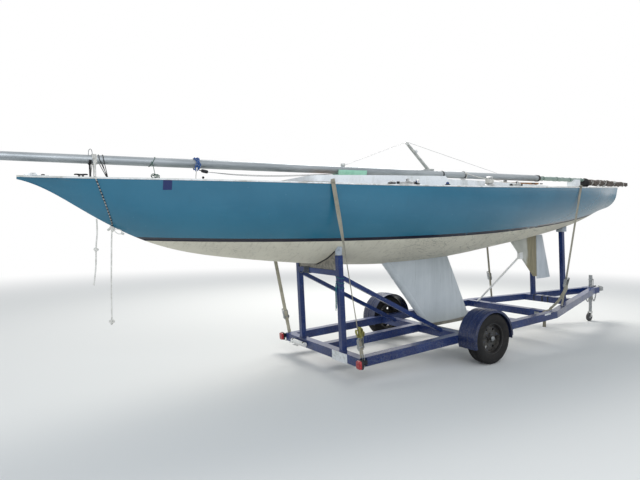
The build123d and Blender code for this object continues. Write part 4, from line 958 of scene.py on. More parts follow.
# Mast
# An oval alloy mast that lies on the deck, masthead forward, dulled to grey by weather, with the
# sail track along its face and its spreaders folded up and down amidships.
alloy = Finish("mast_alloy", metallic=0.5)
long_clouds = alloy.noise(3.0, 5.0, 0.6, alloy.scaled(0.35, 1.0, 1.0))
lines = alloy.noise(90.0, 3.0, 0.6, alloy.scaled(0.03, 1.0, 1.0))
tint = alloy.mix(alloy.step(long_clouds, 0.36, 0.7), "A9AFB3", "8D9499")
tint = alloy.mix(alloy.step(lines, 0.55, 0.7) * 0.35, tint, "74797D")
tint = alloy.mix(alloy.step(alloy.cells(22.0), 0.09, 0.03) * 0.4, tint, "E2E4E4")
alloy.feed(base_color=tint, roughness=long_clouds * 0.2 + 0.34, metallic=0.55 + long_clouds * 0.25)
alloy.feed(normal=alloy.bump(lines * 0.4 + long_clouds, 0.0008))
dress(alloy, "mast")
dress(mottled("spreader_skin", "C3C4BE", "9C9F9E", (16.0, 5.0, 0.65), (0.4, 0.7), (0.25, 0.35), 0.0008,
              (0.6, 1.0, 0.6), metallic=0.2), "spreaders")
dress(mottled("dark_tape", "1B1C20", "34353A", (120.0, 3.0, 0.6), (0.4, 0.7), (0.3, 0.4), 0.0015,
              (3.0, 1.0, 1.0)), "mast_band")
rubber = mottled("black_rubber", "121214", "2C2C2D", (22.0, 5.0, 0.65), (0.4, 0.75), (0.3, 0.5), 0.0008,
                 grain=160.0, specular_ior_level=0.35)
dress(rubber, "heel_ball")

# Mast lashings and rigging
# Rope turns hold the mast down at the bow, cords and a blue line tie loose gear under it, and a
# shroud's turnbuckle and wires hang slack along its lower side.


def mast_middle(aft_of_stem):
    """Height of the mast's centre line, which falls steadily aft."""
    return 2.512 - 0.0095 * np.asarray(aft_of_stem)


def mast_ring(aft_of_stem, angle, clear):
    """A point on the mast's oval, at an angle from its port side upward, a distance clear of it."""
    share = np.clip((np.asarray(aft_of_stem) + 0.95) / 3.25, 0, 1)
    breadth, tall = 0.042 + 0.019 * share + clear, 0.035 + 0.015 * share + clear
    return boat(np.stack(np.broadcast_arrays(
        aft_of_stem, -breadth * np.cos(angle), mast_middle(aft_of_stem) + tall * np.sin(angle)), axis=-1))


line_radius = 0.0055
wraps = np.linspace(0, 3.4 * math.tau, 300)
hitch_turns = mast_ring(0.614 + wraps / math.tau * 0.0115, wraps, line_radius)
falls = []
for hand in (-1, 1):
    outer_fall = boat([(0.625, hand * 0.051, 2.507), (0.622, hand * 0.085, 2.44),
                       (0.614, hand * 0.17, 2.355), (0.608, hand * 0.226, 2.338)])
    inner_fall = boat([(0.636, hand * 0.05, 2.50), (0.634, hand * 0.054, 2.42),
                       (0.632, hand * 0.056, 2.3385)])
    falls += laid(smooth([*outer_fall, girth_sides[hand][0]], 70), line_radius, boat_aft)
    falls += laid(smooth(inner_fall, 50), line_radius, boat_aft)
foot_wraps = wraps[:200]
foot_turns = boat(np.stack([
    0.634 + 0 * foot_wraps, 0.056 * np.cos(foot_wraps), 2.341 + 0.006 * np.sin(foot_wraps)], axis=-1))
piece("mast_hitch", white_line,
      [*laid(hitch_turns, line_radius, boat_aft), *falls, *laid(foot_turns, line_radius, boat_aft),
       knot(boat([0.634, -0.048, 2.48]), 0.005, 0.015, starboard)])
wire_finish = metal_finish("rigging_wire", "8C9093", "5F6467", 0.35, 0.3, 3.0)
hook = smooth(boat([(0.585, -0.036, 2.505), (0.584, -0.030, 2.560), (0.590, -0.024, 2.590),
                    (0.603, -0.020, 2.600), (0.615, -0.016, 2.590), (0.620, -0.012, 2.553)]), 60)
crutch_post = [
    block(boat([0.594, 0, 2.404]), (0.142, 0.016, 0.020), boat_up, starboard, 7.0, 0.003),
    block(boat([0.594, 0, 2.3365]), (0.040, 0.06, 0.007), boat_aft, boat_up, 7.0, 0.002),
    swept(mast_ring(0.594 + 0 * wraps[:24], np.linspace(math.pi + 0.25, math.tau - 0.25, 24), 0.0045),
          oval(0.007, 0.024, 6.0, 16), boat_aft),
]
piece("bow_crutch_post", rubber, crutch_post, ("bow_crutch",))
piece("mast_hook", wire_finish, [round_bar(hook, 0.006, 10, starboard)])
shock = []
for start in (0.672, 0.708):
    around = np.linspace(0.0, math.pi, 20)
    over = mast_ring(start + 0 * around, around, 0.004)
    low, back = boat([(0.744, -0.020, 2.334), (0.744, 0.020, 2.334)])
    shock.append(round_bar(smooth([low, *over, back], 110), 0.007, 9, boat_aft))
shock.append(block(boat([0.744, 0, 2.3345]), (0.05, 0.052, 0.008), boat_aft, boat_up, 3.0, 0.002))
piece("shock_cords", black_plastic, shock)

green_line = rope_finish("green_line", "2F5B4C", "7FA593", 0.2)
blue_line = rope_finish("blue_line", "2C5FA8", "B7C4D6", 0.35)
around = np.linspace(0, math.tau, 60)
once_round = around[:-1]
green = [round_bar(mast_ring(1.165 + 0.03 * np.sin(around), around, 0.0035), 0.006, 9, boat_aft)]
snarl = np.linspace(0, 7 * math.tau, 420)
tangle = boat(np.stack([
    1.185 + 0.034 * np.sin(snarl) + 0.012 * np.sin(snarl * 0.37),
    -0.03 + 0.026 * np.cos(snarl * 0.93) + 0.012 * np.sin(snarl * 0.21),
    2.352 + 0.022 * np.sin(snarl * 0.71 + 1) + 0.006 * np.cos(snarl * 1.9),
], axis=-1))
hang = smooth(boat([(1.150, -0.058, 2.500), (1.160, -0.064, 2.450), (1.172, -0.056, 2.40),
                    (1.182, -0.04, 2.36)]), 50)
green += [round_bar(tangle, 0.0055, 8, boat_up), round_bar(hang, 0.006, 9, boat_aft)]
piece("green_cord", green_line, green)

coil_run = np.linspace(0, 5.5 * math.tau, 420)
sway = 1.618 + 0.018 * np.sin(coil_run * 0.31) + 0.010 * np.sin(coil_run * 1.7)
blue_turns = mast_ring(sway, coil_run, 0.006 + 0.005 * (1 + np.sin(coil_run * 0.83)))
drape = smooth(boat([(1.60, -0.068, 2.50), (1.585, -0.074, 2.455), (1.59, -0.06, 2.415), (1.62, -0.05, 2.43),
                     (1.645, -0.064, 2.475), (1.63, -0.070, 2.505)]), 90)
piece("blue_lashing", blue_line,
      [*laid(blue_turns, 0.005, boat_aft), *laid(drape, 0.005, starboard)])
down_line = smooth(boat([(1.600, -0.066, 2.445), (1.594, -0.062, 2.40), (1.590, -0.056, 2.352),
                         (1.592, -0.05, 2.3195)]), 60)
piece("mast_foot_line", white_line, [
    *laid(down_line, 0.005, starboard),
    turned([(0, 0), (0, 0.015), (0.006, 0.013), (0.010, 0.006), (0.012, 0)], boat([1.592, -0.05, 2.3145]),
           boat_up),
    turned([(-0.004, 0), (-0.004, 0.009), (0.012, 0.011), (0.016, 0)], boat([1.600, -0.066, 2.436]),
           boat_up),
])

swivel = boat([1.655, -0.045, 2.4225])
screw_end = boat([1.726, -0.045, 2.4085])
along = unit(screw_end - swivel)
barrel = turned([(0, 0), (0.001, 0.013), (0.006, 0.0175), (0.030, 0.0185), (0.064, 0.0175), (0.071, 0.013),
                 (0.0725, 0)], swivel, along, 24)
fork = block(swivel - along * 0.010, (0.03, 0.014, 0.009), along, boat_up, 3.0, 0.002)
piece("turnbuckle", black_plastic, [barrel, fork])
stays = [
    [(1.724, -0.045, 2.409), (2.047, -0.047, 2.383), (2.50, -0.05, 2.377), (3.024, -0.052, 2.400),
     (3.36, -0.055, 2.424)],
    [(1.724, -0.041, 2.409), (2.06, -0.040, 2.391), (2.50, -0.04, 2.388), (3.02, -0.043, 2.408),
     (3.36, -0.047, 2.424)],
]
tang = block(boat([3.385, -0.052, 2.430]), (0.05, 0.016, 0.010), boat_aft, boat_up, 3.0, 0.002)
piece("slack_shrouds", wire_finish,
      [*[round_bar(smooth(boat(stay), 140), 0.0052, 8, boat_up) for stay in stays], tang])

# Mast fittings
# A sheave box, joint bands and rivets on the alloy tube, the sail track along its far side, a
# collar and a boot on the raised spreader and a rubber bracket under the tube's after part.
fit_metal, fit_dark = [], []
fit_white = [block(boat([3.494, -0.01, 2.545]), (0.055, 0.03, 0.034), boat_aft, boat_up, 4.0, 0.004)]
for x in (5.217, 5.675):
    stripe = mast_ring(x + 0 * once_round, once_round, 0.0012)
    fit_dark.append(swept(stripe, oval(0.004, 0.024, 6.0, 12), boat_aft, ring=True))
fit_dark.append(block(boat([5.190, -0.035, 2.418]), (0.10, 0.05, 0.028), boat_aft + 0.25 * boat_up, boat_up,
                      3.0, 0.006))
for x in (-0.40, 2.80, 4.15, 6.35):
    for angle in (-0.35, 0.0, 0.35):
        at = mast_ring(x, angle, -0.0005)
        fit_metal.append(screwed(at, at - boat([x, 0, float(mast_middle(x))]), 0.0045))
track_run = np.linspace(-0.86, 7.36, 60)
track_face = mast_ring(track_run, math.pi, 0.0022)
fit_metal.append(swept(track_face, oval(0.016, 0.006, 6.0, 12), starboard))
spreader_run = unit(on_boat((-0.46, 0, 0.415)))
collar = boat([4.745, 0, 2.7715])
fit_white.append(swept(collar + np.linspace(-0.022, 0.022, 6)[:, None] * spreader_run,
                       oval(0.034, 0.034, 2.2, 20), starboard, np.array([0.86, 1.0, 1.03, 1.03, 1.0, 0.86])))
tip = boat([4.575, 0, 2.8745])
fit_white.append(swept(tip + np.linspace(-0.03, 0.008, 7)[:, None] * spreader_run,
                       oval(0.036, 0.032, 2.2, 20), starboard, np.array([0.8, 0.95, 1, 1, 0.95, 0.75, 0.4])))
piece("mast_metal", alloy, fit_metal)
piece("mast_boots", sheer_vinyl, fit_white)
piece("mast_dark_bands", black_plastic, fit_dark)

# Wrapped mast foot and its pads
# The after part of the mast is wound in green sheeting, its end in a brown bundle lashed with
# white line, and a length of split green foam tube keeps the mast off the coaming.


def outer_node(name, voxel):
    """A copy of a plain solid, its doubles merged, remeshed into even faces."""
    source = frame["nodes"][name].data
    mesh = bpy.data.meshes.new(name + "_copy")
    shell = bmesh.new()
    shell.from_mesh(source)
    bmesh.ops.remove_doubles(shell, verts=shell.verts, dist=1e-5)
    bmesh.ops.recalc_face_normals(shell, faces=shell.faces)
    shell.to_mesh(mesh)
    shell.free()
    made = bpy.data.objects.new(name + "_copy", mesh)
    bpy.context.scene.collection.objects.link(made)
    remesh = made.modifiers.new("even", "REMESH")
    remesh.mode = "VOXEL"
    remesh.voxel_size = voxel
    bpy.context.view_layer.objects.active = made
    return made


def applied(made):
    """The object's mesh with its modifiers worked in."""
    graph = bpy.context.evaluated_depsgraph_get()
    mesh = bpy.data.meshes.new_from_object(made.evaluated_get(graph))
    made.modifiers.clear()
    made.data = mesh
    return made


def padded(name, node, finish, slot, voxel, reach, fill, shape=None):
    """A soft form from its plain solid: evenly remeshed, puffed from inside as cloth for twenty
    frames, no point moved further than its reach, then folded and pinched by the shape given."""
    made = applied(outer_node(node, voxel))
    start = points_of(made.data)
    inward = np.empty(len(start) * 3)
    made.data.vertices.foreach_get("normal", inward)
    start_in = start - inward.reshape(-1, 3) * reach * 0.6
    made.data.vertices.foreach_set("co", start_in.ravel())
    cloth = made.modifiers.new("cloth", "CLOTH")
    cloth.settings.quality = 4
    cloth.settings.use_pressure = True
    cloth.settings.uniform_pressure_force = 4.0
    cloth.settings.effector_weights.gravity = 0.0
    for number in range(1, 21):
        bpy.context.scene.frame_set(number)
    applied(made)
    bpy.context.scene.frame_set(1)
    moved = points_of(made.data) - start_in
    far = np.linalg.norm(moved, axis=1, keepdims=True)
    start_in = start_in + moved * np.minimum(1, reach / np.maximum(far, 1e-9))
    points = start_in if shape is None else shape(start_in)
    made.data.vertices.foreach_set("co", points.ravel())
    made.name = name
    made.data.name = name
    made.data.materials.clear()
    made.data.materials.append(finish.material)
    made.data.shade_smooth()
    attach(made, "boat_and_trailer")
    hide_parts(node)
    return made


def wound(points, centre_height, pitch, deep, pinches, seed):
    """Folds of a winding about the mast's line: its radius grows along a spiral of the pitch and
    falls back at each lap, ripples along and round, and draws in at each pinch."""
    place = points - axle_foot
    run = place @ boat_aft + axle_aft
    middle = boat(np.stack([run, 0 * run, centre_height(run)], axis=-1))
    out = points - middle
    radius = np.linalg.norm(out, axis=1)
    angle = np.arctan2(out @ boat_up, out @ starboard)
    lap = (angle / math.tau + run / pitch + seed) % 1.0
    fold = deep * (lap - 0.5)
    fold += deep * 0.5 * np.sin(3 * angle + run * 23 + seed) * np.sin(run * 61 + seed * 3)
    fold += deep * 0.35 * np.sin(5 * angle - run * 47 + seed)
    pull = sum(np.exp(-((run - at) / 0.022) ** 2) for at in pinches)
    grown = (radius + fold - deep * 0.6) * (1 - 0.09 * pull)
    return middle + out * (grown / np.maximum(radius, 1e-6))[:, None]


def cloth_finish(name, light, dark, thread, soil, amount=0.4):
    """Woven cloth: two sets of fine ribs across each other, with faded and soiled patches."""
    cloth = Finish(name, specular_ior_level=0.2, sheen_weight=0.15)
    weave = (cloth.x * thread).sine() * ((cloth.z + cloth.y * 0.6) * thread).sine()
    patches = cloth.noise(7.0, 5.0, 0.6)
    creases = cloth.noise(30.0, 4.0, 0.65, cloth.scaled(0.5, 1.0, 1.6), 1.2)
    colour = cloth.mix(cloth.step(patches, 0.35, 0.7), light, dark)
    colour = cloth.mix(cloth.step(creases, 0.52, 0.7) * amount, colour, soil)
    cloth.feed(base_color=cloth.mix(weave * 0.1 + 0.06, colour, "1E1C18"), roughness=patches * 0.15 + 0.75)
    cloth.feed(normal=cloth.bump(weave * 0.25 + creases * 1.6, 0.0022))
    return cloth


green_sheeting = cloth_finish("green_sheeting", "8FA39B", "A9B4AD", 2100.0, "5E6F66")
brown_sacking = cloth_finish("brown_sacking", "6A5F57", "4A413A", 1500.0, "2E2824", 0.7)
foam = Finish("green_foam", specular_ior_level=0.2)
pores = foam.cells(420.0)
shade = foam.noise(9.0, 4.0, 0.6)
foam.feed(base_color=foam.mix(foam.step(shade, 0.35, 0.7), "A9DCC6", "93CDB4"), roughness=shade * 0.1 + 0.8)
foam.feed(normal=foam.bump(pores + shade * 3.0, 0.0012))


def heel_middle(aft_of_stem):
    """Height of the bundle's centre line, which falls aft more than the mast's."""
    return 2.392 - 0.030 * (aft_of_stem - 8.93) / 1.47


tie_places = (9.08, 9.30, 9.52, 9.86, 10.22)
cover_tie_places = (7.62, 8.02, 8.42, 8.78)
padded("mast_wrapping", "mast_cover", green_sheeting, "green_wrap", 0.007, 0.006, 0.4,
       lambda points: wound(points, mast_middle, 0.19, 0.006, cover_tie_places, 0.3))
padded("heel_wrapping", "heel_bundle", brown_sacking, "brown_wrap", 0.008, 0.012, 0.5,
       lambda points: wound(points, heel_middle, 0.27, 0.011, tie_places, 0.7))
padded("coaming_foam", "mast_pad", foam, "green_foam", 0.005, 0.003, 0.8)

ties = []
tie_turns = ((-0.030, 0.030), (0.045,), (-0.050, 0.050), (-0.018,), (0.028,))
tie_ends = ((0.9, 0.03), (-2.2, 0.05), (-1.9, 0.045), (2.6, 0.03), (0.7, 0.05))
for x, leans, (clock, reach) in zip(tie_places, tie_turns, tie_ends):
    middle = heel_middle(x)
    size = np.interp(x, [8.93, 9.6, 10.4], [0.061, 0.063, 0.051])
    for lean in leans:
        ring_at = boat(np.stack([x + lean * np.cos(once_round + clock), size * np.cos(once_round),
                                 middle + size * 0.92 * np.sin(once_round)], axis=-1))
        ties.append(swept(ring_at, oval(0.007, 0.006, corners=8), boat_aft, ring=True))
    out = on_boat((0, math.cos(clock), math.sin(clock)))
    tied = boat([x, 0, middle]) + out * (size + 0.003)
    ties.append(knot(tied, 0.0055, 0.021, out))
    for side in (-boat_aft, boat_aft):
        loose = smooth([tied, tied + side * reach * 0.4 + out * 0.016,
                        tied + side * reach + out * 0.010 - boat_up * 0.01,
                        tied + side * (reach + 0.012) + out * 0.004 - boat_up * 0.028], 24)
        ties.append(swept(loose, oval(0.010, 0.0085, corners=8), starboard))
piece("bundle_ties", white_line, ties)
cover_ties = []
for x in cover_tie_places:
    half = np.interp(x, [7.5, 8.9], [0.0385, 0.031])
    ring_at = boat(np.stack([x + 0.006 * np.sin(once_round), half * 1.12 * np.cos(once_round),
                             mast_middle(x) + half * np.sin(once_round)], axis=-1))
    cover_ties.append(round_bar(ring_at, 0.007, 8, boat_aft, ring=True))
piece("cover_ties", green_line, cover_ties)
ball_seam = boat(np.stack([8.915 + 0.0862 * np.cos(once_round), 0 * once_round,
                           2.379 + 0.0862 * np.sin(once_round)], axis=-1))
piece("ball_seam", rubber, [
    round_bar(ball_seam, 0.005, 8, starboard, ring=True),
])

# Trailer frame
# Square steel tube, welded and sprayed a deep blue that has chipped to primer and rust along
# its edges and faded where the weather reaches it.


def painted_steel(name, deep, faded, chip=0.5, rounding=0.004):
    """Gloss paint over steel: clouds of fading, chips in scattered cells, dust in the lows, and
    edges rounded in shading."""
    paint = Finish(name, coat_roughness=0.14, specular_ior_level=0.3)
    clouds = paint.noise(2.4, 5.0, 0.6)
    fine = paint.noise(55.0, 4.0, 0.7)
    colour = paint.mix(paint.step(clouds, 0.38, 0.7), deep, faded)
    chips = paint.step(fine + paint.noise(4.0, 2.0) * 0.6, 1.06, 1.12) * chip
    colour = paint.mix(chips, colour, "7B5A44")
    scrapes = paint.noise(11.0, 3.0, 0.5, paint.scaled(0.3, 1.0, 1.0), 1.0)
    colour = paint.mix(paint.step(abs(scrapes - 0.5), 0.008, 0.002) * 0.3, colour, "6F7E9C")
    dust = paint.step(fine, 0.35, 0.75) * paint.step(paint.z, 0.75, 0.25)
    colour = paint.mix(dust * 0.22, colour, "8E8672")
    paint.feed(base_color=colour, roughness=paint.step(clouds, 0.3, 0.7, 0.26, 0.4) + chips * 0.3)
    paint.feed(coat_weight=0.35 * (1.0 - chips))
    round_edge = paint.node("ShaderNodeBevel", {"samples": 4}, {"Radius": rounding})
    waves = paint.bump(paint.noise(6.0, 2.0), 0.002, round_edge)
    paint.feed(normal=paint.bump(fine * 0.15 - chips, 0.0008, waves))
    return paint


blue_steel = painted_steel("trailer_blue", "03235A", "0A306C")
dress(blue_steel, "rear_crossbar", "side_rail_port", "side_rail_starboard", "crossbars", "centre_rail",
      "rear_post_bar", "rear_posts", "post_braces", "front_posts", "tongue_head")
fender_paint = painted_steel("fender_blue", "021A45", "062353", 0.3, 0.002)
dress(fender_paint, "fender_port", "fender_starboard")
white_tube = painted_steel("white_tube", "EBEBE9", "DAD9D6", 0.2, 0.002)
dress(white_tube, "prop_tube", "stern_pole")
lamp_red = Finish("lamp_red", coat_roughness=0.08)
ribs = ((lamp_red.z * 420.0).sine() * 0.5 + 0.5).largest((lamp_red.y * 420.0).sine() * 0.5 + 0.5)
lamp_red.feed(base_color=lamp_red.mix(lamp_red.noise(20.0, 4.0), "8E1117", "B3262A"), coat_weight=0.5)
lamp_red.feed(roughness=0.2 + lamp_red.noise(40.0, 3.0) * 0.2, normal=lamp_red.bump(ribs, 0.0012))
rim_paint = painted_steel("rim_paint", "1A1A1C", "29282A", 0.9, 0.002)
dress(rim_paint, "rim_port", "rim_starboard")
caster_grey = Finish("caster_grey")
caster_grey.feed(base_color=caster_grey.mix(caster_grey.noise(30.0, 4.0), "26262A", "3B3B3D"))
caster_grey.feed(roughness=0.5 + caster_grey.noise(18.0, 3.0) * 0.2)
caster_grey.feed(normal=caster_grey.bump(caster_grey.noise(90.0, 3.0), 0.001))
dress(caster_grey, "caster_wheel")
dress(metal_finish("pale_zinc", "D3D4D2", "B4B6B5", 0.4, 0.2, 2.0), "caster_fork")


def weld(start, end, up, radius=0.0055):
    """A weld bead: a round run between two points whose radius ripples every five millimetres."""
    start, end = np.asarray(start, float), np.asarray(end, float)
    length = np.linalg.norm(end - start)
    along = np.linspace(0, 1, max(int(length / 0.0025), 6))[:, None]
    ripple = 1 + 0.16 * np.abs(np.sin(along[:, 0] * length / 0.005 * math.pi))
    return round_bar(start + along * (end - start), 2 * radius, 8, up, size=ripple)


def foot_welds(x, y, z, half):
    """Beads round the foot of a square post."""
    corners = rig([(x + aft_side * half, y + star_side * half, z)
                   for aft_side, star_side in ((-1, -1), (1, -1), (1, 1), (-1, 1), (-1, -1))])
    return [weld(first, second, rig_up) for first, second in zip(corners[:-1], corners[1:])]


beads = []
for hand in (-1, 1):
    beads += foot_welds(3.100, hand * 0.455, 0.3815, 0.033)
    beads += foot_welds(7.726, hand * 0.279, 0.3815, 0.033)
    for height in (1.246, 1.310):
        beads.append(weld(rig([3.070, hand * 0.4215, height]), rig([3.130, hand * 0.4215, height]), rig_up))
    beads.append(weld(rig([3.1525, hand * 0.829, 0.284]), rig([3.1525, hand * 0.829, 0.374]), starboard))
    for x in (4.649, 4.751, 5.749, 5.851, 6.554, 6.656):
        beads.append(weld(rig([x, hand * 0.7285, 0.284]), rig([x, hand * 0.7285, 0.376]), starboard, 0.005))
    beads.append(weld(rig([8.979, hand * 0.075, 0.3815]), rig([8.979, hand * 0.118, 0.3815]), rig_up, 0.005))
piece("weld_beads", blue_steel, beads)

bolts = []
for x in (4.79, 4.88, 5.60, 5.70):
    for y in (-0.062, 0.062):
        bolts += bolt(boat([x, y, 0.3602]), boat_up, 0.007)
for x in (9.20, 9.30):
    bolts += bolt(rig([x, -0.0425, 0.312]), -starboard, 0.009)
    bolts += bolt(rig([x, 0.0425, 0.312]), starboard, 0.009)
for hand in (-1, 1):
    for x in (3.08, 3.12):
        bolts += bolt(rig([x, hand * 0.394, 1.3115]), rig_up, 0.007)
    for x in (4.93, 5.06):
        bolts += bolt(rig([x, hand * 0.8335, 0.315]), starboard * hand, 0.008)
zinc = metal_finish("zinc_plate", "AEB1B2", "85898B", 0.34, 0.35, 2.0)
piece("frame_bolts", zinc, bolts)

piece("crossbar_plate", zinc, [
    block(rig([6.5525, -0.58, 0.325]), (0.08, 0.005, 0.06), starboard, rig_up, 10.0, 0.001),
    *bolt(rig([6.5505, -0.605, 0.325]), -rig_aft, 0.006),
])

piece("bar_bands", rubber, [
    block(rig([7.726, y, 0.330]), (wide, 0.107, 0.107), starboard, rig_up, 12.0, 0.001)
    for y, wide in ((0.232, 0.018), (0.075, 0.026), (-0.030, 0.022))
])

# Chock edging and post pads
# Split rubber hose caps the plywood chock's hollowed edge, carpet pads sit on the four posts under
# the hull, and rope offcuts hang on the near rear post and on the bar between the two.
chock_across = np.linspace(-0.405, 0.405, 34)
edging = met(rig(np.stack([3.100 + 0 * chock_across, chock_across, 1.9 + 0 * chock_across], axis=1)),
             -rig_up, "bow_chock")
piece("chock_edging", rubber, [
    swept(edging - rig_up * 0.004, oval(0.050, 0.020, 3.0, 18), rig_up),
])
carpet = cloth_finish("post_carpet", "B9C2CC", "8C949E", 900.0, "5F6468", 0.5)
padded("post_pads", "hull_pads", carpet, "pad_foam", 0.005, 0.003, 0.85)


def square_turns(turns, count, half):
    """Turns of line round a square bar: how many are made at each point, and its two distances
    from the bar's middle, the cosine and the sine drawn out towards the corners by a power."""
    angle = np.linspace(0, turns * math.tau, count)
    wave = np.stack([np.cos(angle), np.sin(angle)])
    return angle / math.tau, *(np.sign(wave) * np.abs(wave) ** 0.35 * half)


teal_line = rope_finish("teal_line", "1D6D78", "7FB4B8", 0.2)
made, out_aft, out_star = square_turns(3, 160, 0.0375)
teal_path = rig(np.stack([3.100 + out_aft, -0.455 + out_star, 1.262 - made * 0.055], axis=1))
teal_hang = [
    smooth(rig([(3.062, -0.428, 1.17), (3.056, -0.420, 1.10), (3.058, -0.414, 0.99), (3.056, -0.412, 0.90),
                (3.058, -0.410, 0.845)]), 80),
    smooth(rig([(3.062, -0.440, 1.15), (3.054, -0.436, 1.05), (3.057, -0.430, 0.95),
                (3.053, -0.428, 0.875)]), 70),
]
piece("post_lashing", teal_line, [
    *laid(teal_path, 0.0045, rig_up),
    *[strand for path in teal_hang for strand in laid(path, 0.0045, starboard)],
])
grey_line = rope_finish("grey_line", "6E7376", "3A3D40", 0.3)
made, out_aft, out_up = square_turns(5, 260, 0.0385)
bar_path = rig(np.stack([3.100 + out_aft, 0.16 + made * 0.026, 1.278 + out_up], axis=1))
bar_sag = smooth(rig([(3.064, 0.29, 1.262), (3.060, 0.33, 1.236), (3.060, 0.37, 1.232),
                      (3.062, 0.402, 1.252)]), 60)
piece("bar_lashing", grey_line,
      [*laid(bar_path, 0.005, starboard), *laid(bar_sag, 0.005, rig_up)])

# Blank plate, lamps and cable
# A pale registration panel left blank, flat on the crossbar; moulded lamps on plastic ears at its
# ends, with ribbed lenses, and their cable clipped along the bar; struts hold the white tube.
plate_white = mottled("plate_white", "DDE0E2", "B7B9B5", (20.0, 5.0, 0.65), (0.4, 0.75), (0.2, 0.32), 0.0006,
                      coat_roughness=0.2)
piece("blank_plate", plate_white, [
    block(rig([3.0465, -0.450, 0.3235]), (0.302, 0.003, 0.112), starboard, rig_up, 14.0, 0.0008),
    block(rig([3.0447, -0.450, 0.3235]), (0.286, 0.0016, 0.096), starboard, rig_up, 14.0, 0.0004),
])
piece("rail_sticker", plate_white, [
    block(rig([6.442, -0.8322, 0.367]), (0.14, 0.0008, 0.024), rig_aft, rig_up, 14.0, 0.0002),
])
# a lens: distance out from its middle before it is pressed to 0.6, share of its rim
lens_rows = np.array([(0.0, 1.0), (0.018, 1.0), (0.030, 0.985), (0.038, 0.93), (0.042, 0.80), (0.0435, 0.55),
                      (0.044, 0.0)])
lens_rim = oval(0.080, 0.092, 5.0, 48)
cable_keys = np.array([(3.036, 0.880, 0.302), (3.052, 0.874, 0.272), (3.078, 0.850, 0.2665),
                       (3.110, 0.800, 0.2715), (3.112, 0.700, 0.2735), (3.11, 0.5, 0.2735),
                       (3.11, 0.2, 0.2735), (3.11, 0.0, 0.2735)])
lens, ears, cables = [], [], []
for hand in (-1, 1):
    dome = rig([3.014, hand * 0.880, 0.331]) - lens_rows[:, :1, None] * rig_aft * 0.6
    dome = dome + lens_rows[:, 1:, None] * (lens_rim[:, :1] * starboard + lens_rim[:, 1:] * rig_up)
    lens.append(sheet(dome, around=True, ends=True))
    ears.append(block(rig([3.026, hand * 0.880, 0.331]), (0.024, 0.086, 0.098), rig_aft, rig_up, 6.0, 0.003))
    ears.append(block(rig([3.085, hand * 0.860, 0.331]), (0.10, 0.006, 0.05), rig_aft, rig_up, 8.0, 0.001))
    ears.append(block(rig([3.060, hand * 0.846, 0.366]), (0.06, 0.034, 0.006), rig_aft, rig_up, 6.0, 0.001))
    cables.append(round_bar(smooth(rig(cable_keys * (1, hand, 1)), 120), 0.007, 10, rig_up))
    cables += [block(rig([3.11, hand * y, 0.2755]), (0.012, 0.018, 0.008), starboard, rig_up, 4.0, 0.001)
               for y in (0.15, 0.35, 0.62)]
piece("lamp_lenses", lamp_red, lens, ("tail_lights",))
piece("lamp_bodies", black_plastic, ears)
piece("lamp_cable", black_plastic, cables)

piece("prop_struts", white_tube, [
    rod(rig([3.012, 0.575, 0.304]), rig([2.996, 0.640, 0.296]), 0.009),
    rod(rig([3.018, 0.545, 0.303]), rig([3.010, 0.47, 0.2805]), 0.007),
    rod(rig([3.018, 0.500, 0.303]), rig([3.010, 0.555, 0.2805]), 0.007),
    block(rig([3.010, 0.51, 0.2795]), (0.12, 0.03, 0.006), starboard, rig_up, 5.0, 0.002),
])
piece("prop_collars", black_plastic, [
    turned([(-0.012, 0.0265), (-0.012, 0.0305), (0.012, 0.0305), (0.012, 0.0265)],
           rig([3.018, y, 0.329]), starboard, 28, ring=True) for y in (0.30, 0.56)
])

# Wheels
# Radial tyres with five ribs of road tread on steel rims, held by five nuts each; the near hub
# has a pressed grey cap and the far one is rusty. They turn on stub axles under the fenders.
tyre_rubber = mottled("tyre_rubber", "0C0C0E", "23211F", (16.0, 5.0, 0.65), (0.42, 0.75), (0.25, 0.6),
                      0.0005, grain=220.0, specular_ior_level=0.35)
cap_grey = metal_finish("cap_grey", "9B9EA0", "73777A", 0.5, 0.3, 2.0)
rusty = mottled("rusty_hub", "6B3A22", "2E221C", (60.0, 5.0, 0.7), (0.35, 0.7), (0.2, 0.7), 0.0015)
# half of the tyre's section: distance from its middle plane, radius
section_keys = np.array([
    (-0.052, 0.170), (-0.064, 0.171), (-0.072, 0.180), (-0.0755, 0.192), (-0.0845, 0.210),
    (-0.0915, 0.238), (-0.0925, 0.262), (-0.0885, 0.284), (-0.0815, 0.301), (-0.070, 0.3115),
    (-0.050, 0.3160), (-0.025, 0.3176), (0.0, 0.3178),
])
section = smooth(np.concatenate([section_keys, section_keys[-2::-1] * (-1, 1)]), 150)
round_tyre = round_trip(384)
tread_y, tread_r = section[:, :1], section[:, 1:]
on_tread = np.clip((0.079 - np.abs(tread_y)) / 0.006, 0, 1) * (tread_r > 0.295)
ribs = sum(np.clip(1 - np.abs(np.abs(tread_y) - at) / 0.0035, 0, 1) * 1.6 for at in (0.016, 0.045))
slant = round_tyre * 64 + np.abs(tread_y) * 160 * np.sign(tread_y)
slots = np.clip((np.cos(slant) - 0.62) * 5, 0, 1) * np.clip((np.abs(tread_y) - 0.020) / 0.004, 0, 1)
depth = 0.0065 * np.clip(np.maximum(ribs, slots), 0, 1) * on_tread
wall_rib = 0.0012 * np.exp(-((tread_r - 0.200) / 0.003) ** 2)
wall_rib += 0.001 * np.exp(-((tread_r - 0.288) / 0.002) ** 2)
fine = 0.0006 * np.clip(np.cos(round_tyre * 190), 0, 1) * np.exp(-((tread_r - 0.274) / 0.008) ** 2)
radius_at = tread_r - depth + 0 * round_tyre
swell_y = tread_y + np.sign(tread_y) * (wall_rib + fine) * (tread_r < 0.305)
tyre_across, outside_wheel = 1.0, 1.4
nut_gap, first_nut = 1.2566, 0.3
